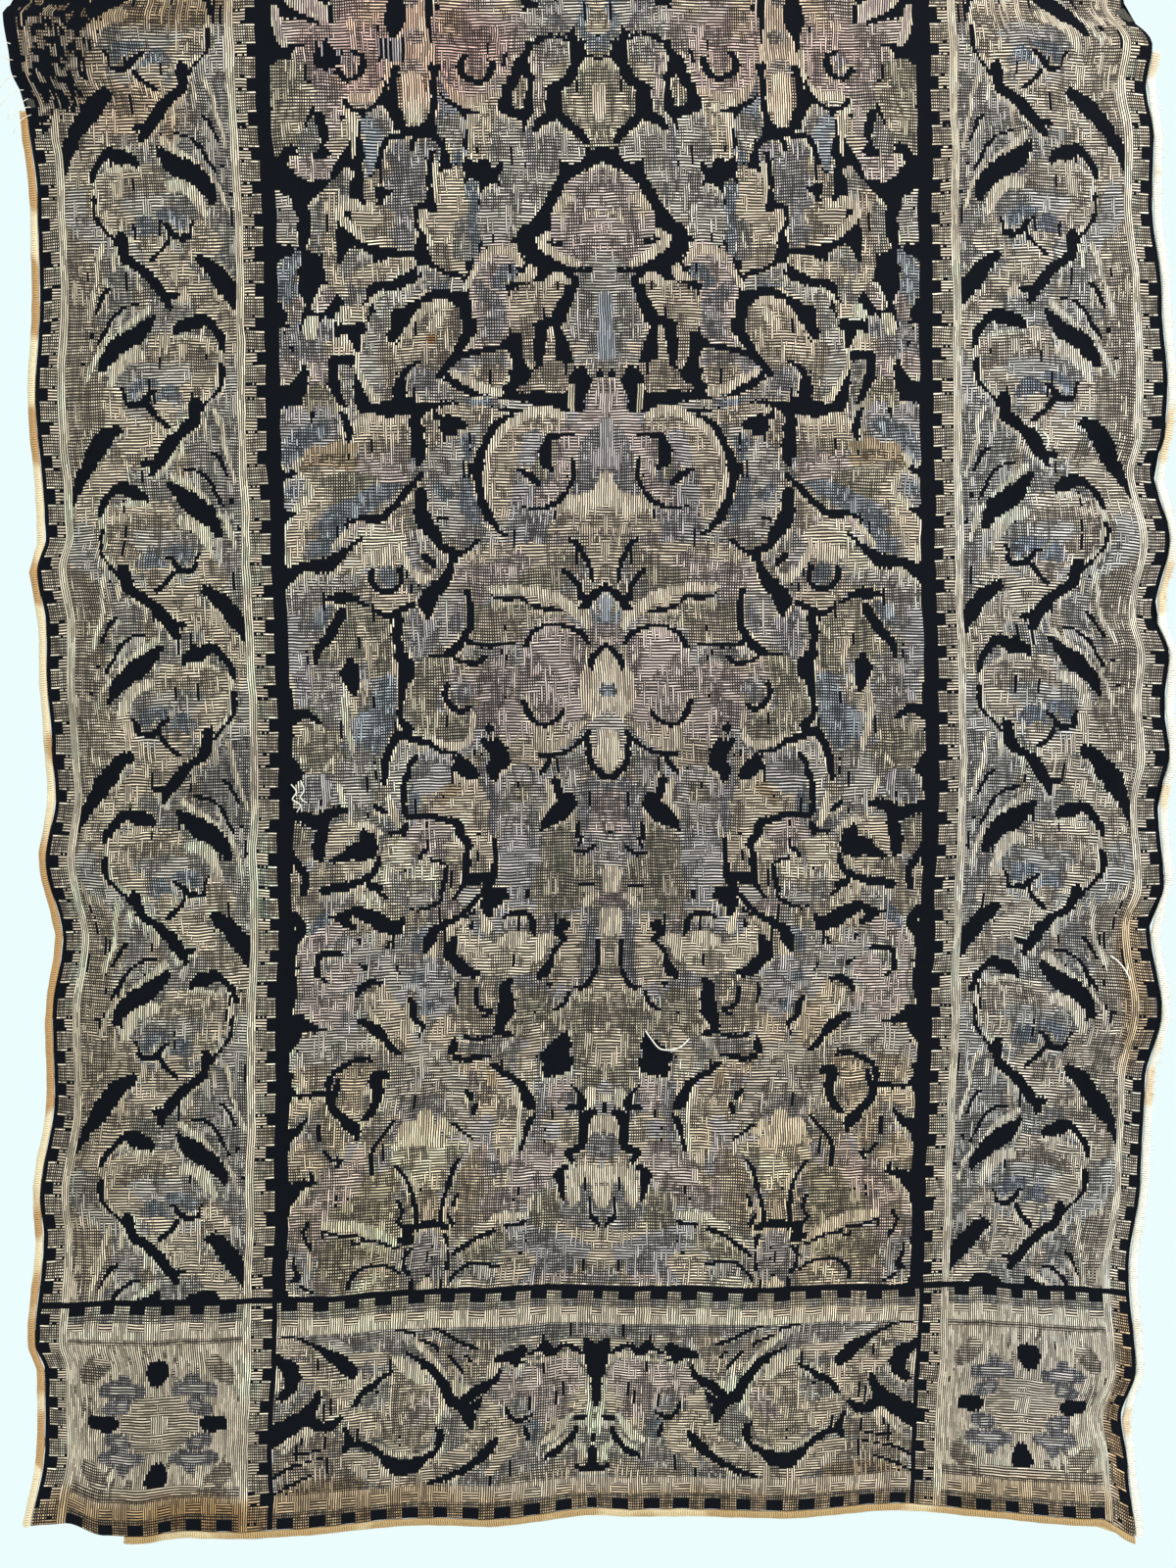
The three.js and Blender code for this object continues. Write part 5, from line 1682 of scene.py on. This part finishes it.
def overcast(name, edge, outward, material):
    """Thread wound closely round one edge of the cloth, over a flat core."""
    core_middle = (GAP + OVERCAST_WIDTH / 2) / 1000
    line, places = even_steps(edge, STITCH_PITCH / STEPS_PER_TURN / 1000)
    turn = places / (STITCH_PITCH / 1000) * 2 * np.pi
    loose = 1 + 0.10 * np.sin(places * 190) + 0.08 * np.sin(places * 431 + 1)
    lies = core_middle + (OVERCAST_WIDTH / 2 - THREAD_HALF) / 1000 * np.cos(turn) * loose
    coil = line + outward * lies[:, None]
    coil[:, 1] += (OVERCAST_THICKNESS / 2 - THREAD_HALF * 0.6) / 1000 * np.sin(turn)
    points, faces = tube(coil, THREAD_HALF / 1000, THREAD_SIDES, 0)
    core, _ = even_steps(edge, CORE_STEP / 1000)
    rods = [(points, faces)]
    start = len(points)
    for aside in CORE_PLACES:
        rod = core + outward * (core_middle + aside / 1000)
        rods.append(tube(rod, CORE_HALF / 1000, CORE_SIDES, start))
        start += len(rods[-1][0])
    points = np.vstack([part[0] for part in rods])
    faces = [face for part in rods for face in part[1]]
    return new_piece(name, points, faces, [material])


# Loose ends of thread: places as across, down and how far they stand off, and half thickness
LOOSE_THREADS = [
    (0.40, (23, 571, 0.6), (26, 575, 1.6), (31, 580.5, 2.2), (38, 581, 2.0), (43, 579, 1.6),
     (47, 575, 0.6)),
    (0.42, (283, 528, 0.4), (286, 530, 1.6), (289, 533, 2.0), (291, 536, 2.0), (293, 540, 1.4)),
    (0.36, (291, 536, 2.0), (292.5, 533, 1.8), (293, 531, 1.0)),
    (0.40, (240, 249, 0.5), (242, 251, 1.5), (243, 255, 1.5), (242, 257, 0.6)),
    (0.34, (-171, 433, 0.5), (-168, 437, 2.2), (-170, 441, 2.6), (-166, 444, 2.4), (-168, 448, 0.5)),
    (0.34, (-166, 431, 0.5), (-164, 436, 2.4), (-166, 440, 2.0), (-163, 443, 0.6)),
]
# Wisps of torn warp beside the worn corner: where each starts down the edge, its reach and fall
WISPS = [(44, 9, -9), (52, 11, -4), (60, 8, 5), (66, 12, 8), (70, 10, 11), (74, 12, 6), (78, 9, 10)]
WISP_HALF = 0.22
FIBRE_COUNT = 900
FIBRE_HALF = 0.11


def joined_cords(name, cords, material):
    """One piece of several cords, each given as a line in metres, its half thickness and sides."""
    points, faces, start = [], [], 0
    for line, half, sides in cords:
        more, added = tube(line, half, sides, start)
        points.append(more)
        faces += added
        start += len(more)
    return new_piece(name, np.vstack(points), faces, [material])


def loose_threads(name, material):
    cords = []
    for half, *places in LOOSE_THREADS:
        steps = spine_steps(places)
        line = hung(steps[:, 0], steps[:, 1])
        line[:, 1] -= (CLOTH_THICKNESS / 2 + 0.5 + steps[:, 2]) / 1000
        cords.append((line, half / 1000, 5))
    for down, reach, fall in WISPS:
        part = np.linspace(0, 1, 9)
        root = hung(-FLAT_WIDTH / 2 + 2, down)
        curl = np.sin(part * 4 + down) * part
        aside = np.stack([-reach * part, -1.5 - 2 * part + curl, -fall * part ** 1.6 - curl], 1)
        cords.append((root + aside / 1000, WISP_HALF / 1000, 4))
    return joined_cords(name, cords, material)


def edge_fibres(name, edge, material):
    """Short fibres that stand out of the overcast thread of the right edge."""
    line, places = even_steps(edge, 0.0002)
    cords = []
    for _ in range(FIBRE_COUNT):
        root = line[chance.integers(4, len(line) - 4)]
        length = chance.uniform(0.8, 2.6) / 1000
        out = chance.uniform(GAP + OVERCAST_WIDTH * 0.45, GAP + OVERCAST_WIDTH * 0.98) / 1000
        lean, turn = chance.uniform(-0.7, 0.7), chance.uniform(-0.8, 0.8)
        front = -OVERCAST_THICKNESS / 2000 * chance.uniform(0.2, 1.0)
        part = np.linspace(0, 1, 4)[:, None]
        ahead = np.array([0.9, turn - 0.4, lean]) * length
        droop = np.array([0.0, 0.0, -0.35]) * length
        cords.append((root + np.array([out, front, 0.0]) + ahead * part + droop * part ** 2,
                      FIBRE_HALF / 1000, 3))
    return joined_cords(name, cords, material)


def place_camera():
    sight = bpy.data.cameras.new("camera")
    sight.sensor_width = SENSOR_WIDTH
    sight.lens = LENS
    sight.clip_start = 0.01
    camera = bpy.data.objects.new("camera", sight)
    camera.location = CAMERA_PLACE
    camera.rotation_euler = (math.radians(CAMERA_PITCH), 0, 0)
    bpy.context.scene.collection.objects.link(camera)
    bpy.context.scene.camera = camera


def soft_light(name, place, target, size, power, colour):
    lamp = bpy.data.lights.new(name, "AREA")
    lamp.shape = "RECTANGLE"
    lamp.size, lamp.size_y = size
    lamp.energy = power
    lamp.color = colour
    light = bpy.data.objects.new(name, lamp)
    light.location = place
    aim = np.array(target) - np.array(place)
    light.rotation_euler = (math.atan2(math.hypot(aim[0], aim[1]), -aim[2]), 0,
                            math.atan2(aim[1], aim[0]) - math.pi / 2)
    bpy.context.scene.collection.objects.link(light)


def studio():
    world = bpy.data.worlds.new("studio")
    world.use_nodes = True
    sky = world.node_tree.nodes["Background"]
    sky.inputs["Color"].default_value = SKY_COLOUR
    sky.inputs["Strength"].default_value = 1.0
    bpy.context.scene.world = world
    bpy.context.scene.view_settings.view_transform = "Standard"
    soft_light("window", WINDOW_PLACE, WINDOW_AIM, WINDOW_SIZE, WINDOW_POWER, WINDOW_COLOUR)
    bpy.ops.object.select_all(action="DESELECT")
    bpy.ops.mesh.primitive_plane_add(size=1, location=(0, 0, 0))
    floor = bpy.context.object
    floor.name = "floor"
    for corner in floor.data.vertices:
        deep = FLOOR_MIDDLE + corner.co[1] * FLOOR_DEPTH
        corner.co = (corner.co[0] * FLOOR_WIDTH, deep, FLOOR_LEVEL)
    floor.data.materials.append(plain_finish("pale floor", FLOOR_COLOUR, 0.6))


front = woven_yarns()
reverse = reverse_of_weave()
panel = tapestry_panel(front, reverse)
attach(panel, "root")
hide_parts("tapestry_panel")

left_rows = np.arange(LEFT_START_ROW, SIDE_ROWS + 1) / SIDE_ROWS * FLAT_DROP
right_rows = np.arange(RIGHT_START_ROW, SIDE_ROWS + 1) / SIDE_ROWS * FLAT_DROP
left_edge = hung(-FLAT_WIDTH / 2, left_rows)
right_edge = hung(FLAT_WIDTH / 2, right_rows)
hem_edge = hung(np.linspace(-FLAT_WIDTH / 2 + HEM_START, FLAT_WIDTH / 2, 160), FLAT_DROP)
tan_thread = overcast_thread("tan overcast thread", (0.55, 0.33, 0.15, 1), (0.84, 0.70, 0.48, 1), 0.52)
hem_thread = overcast_thread("gold overcast thread", (0.52, 0.35, 0.17, 1), (0.72, 0.57, 0.35, 1), 0.56)
cream_thread = overcast_thread("cream overcast thread", (0.86, 0.82, 0.73, 1), (0.76, 0.60, 0.42, 1), 0.58)
for name, edge, outward, material, slot in (
        ("overcast_edge_left", left_edge, (-1, 0, 0), tan_thread, "tan_thread"),
        ("overcast_edge_bottom", hem_edge, (0, 0, -1), hem_thread, "tan_thread"),
        ("overcast_edge_right", right_edge, (1, 0, 0), cream_thread, "cream_thread")):
    wound = overcast(name.replace("edge", "threads"), edge, np.array(outward, float), material)
    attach(wound, "root")
    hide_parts(name)
loose = loose_threads("loose_threads", cream_thread)
fibres = edge_fibres("fibres_of_right_edge", right_edge, cream_thread)
for piece in (loose, fibres):
    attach(piece, "root")

studio()
place_camera()
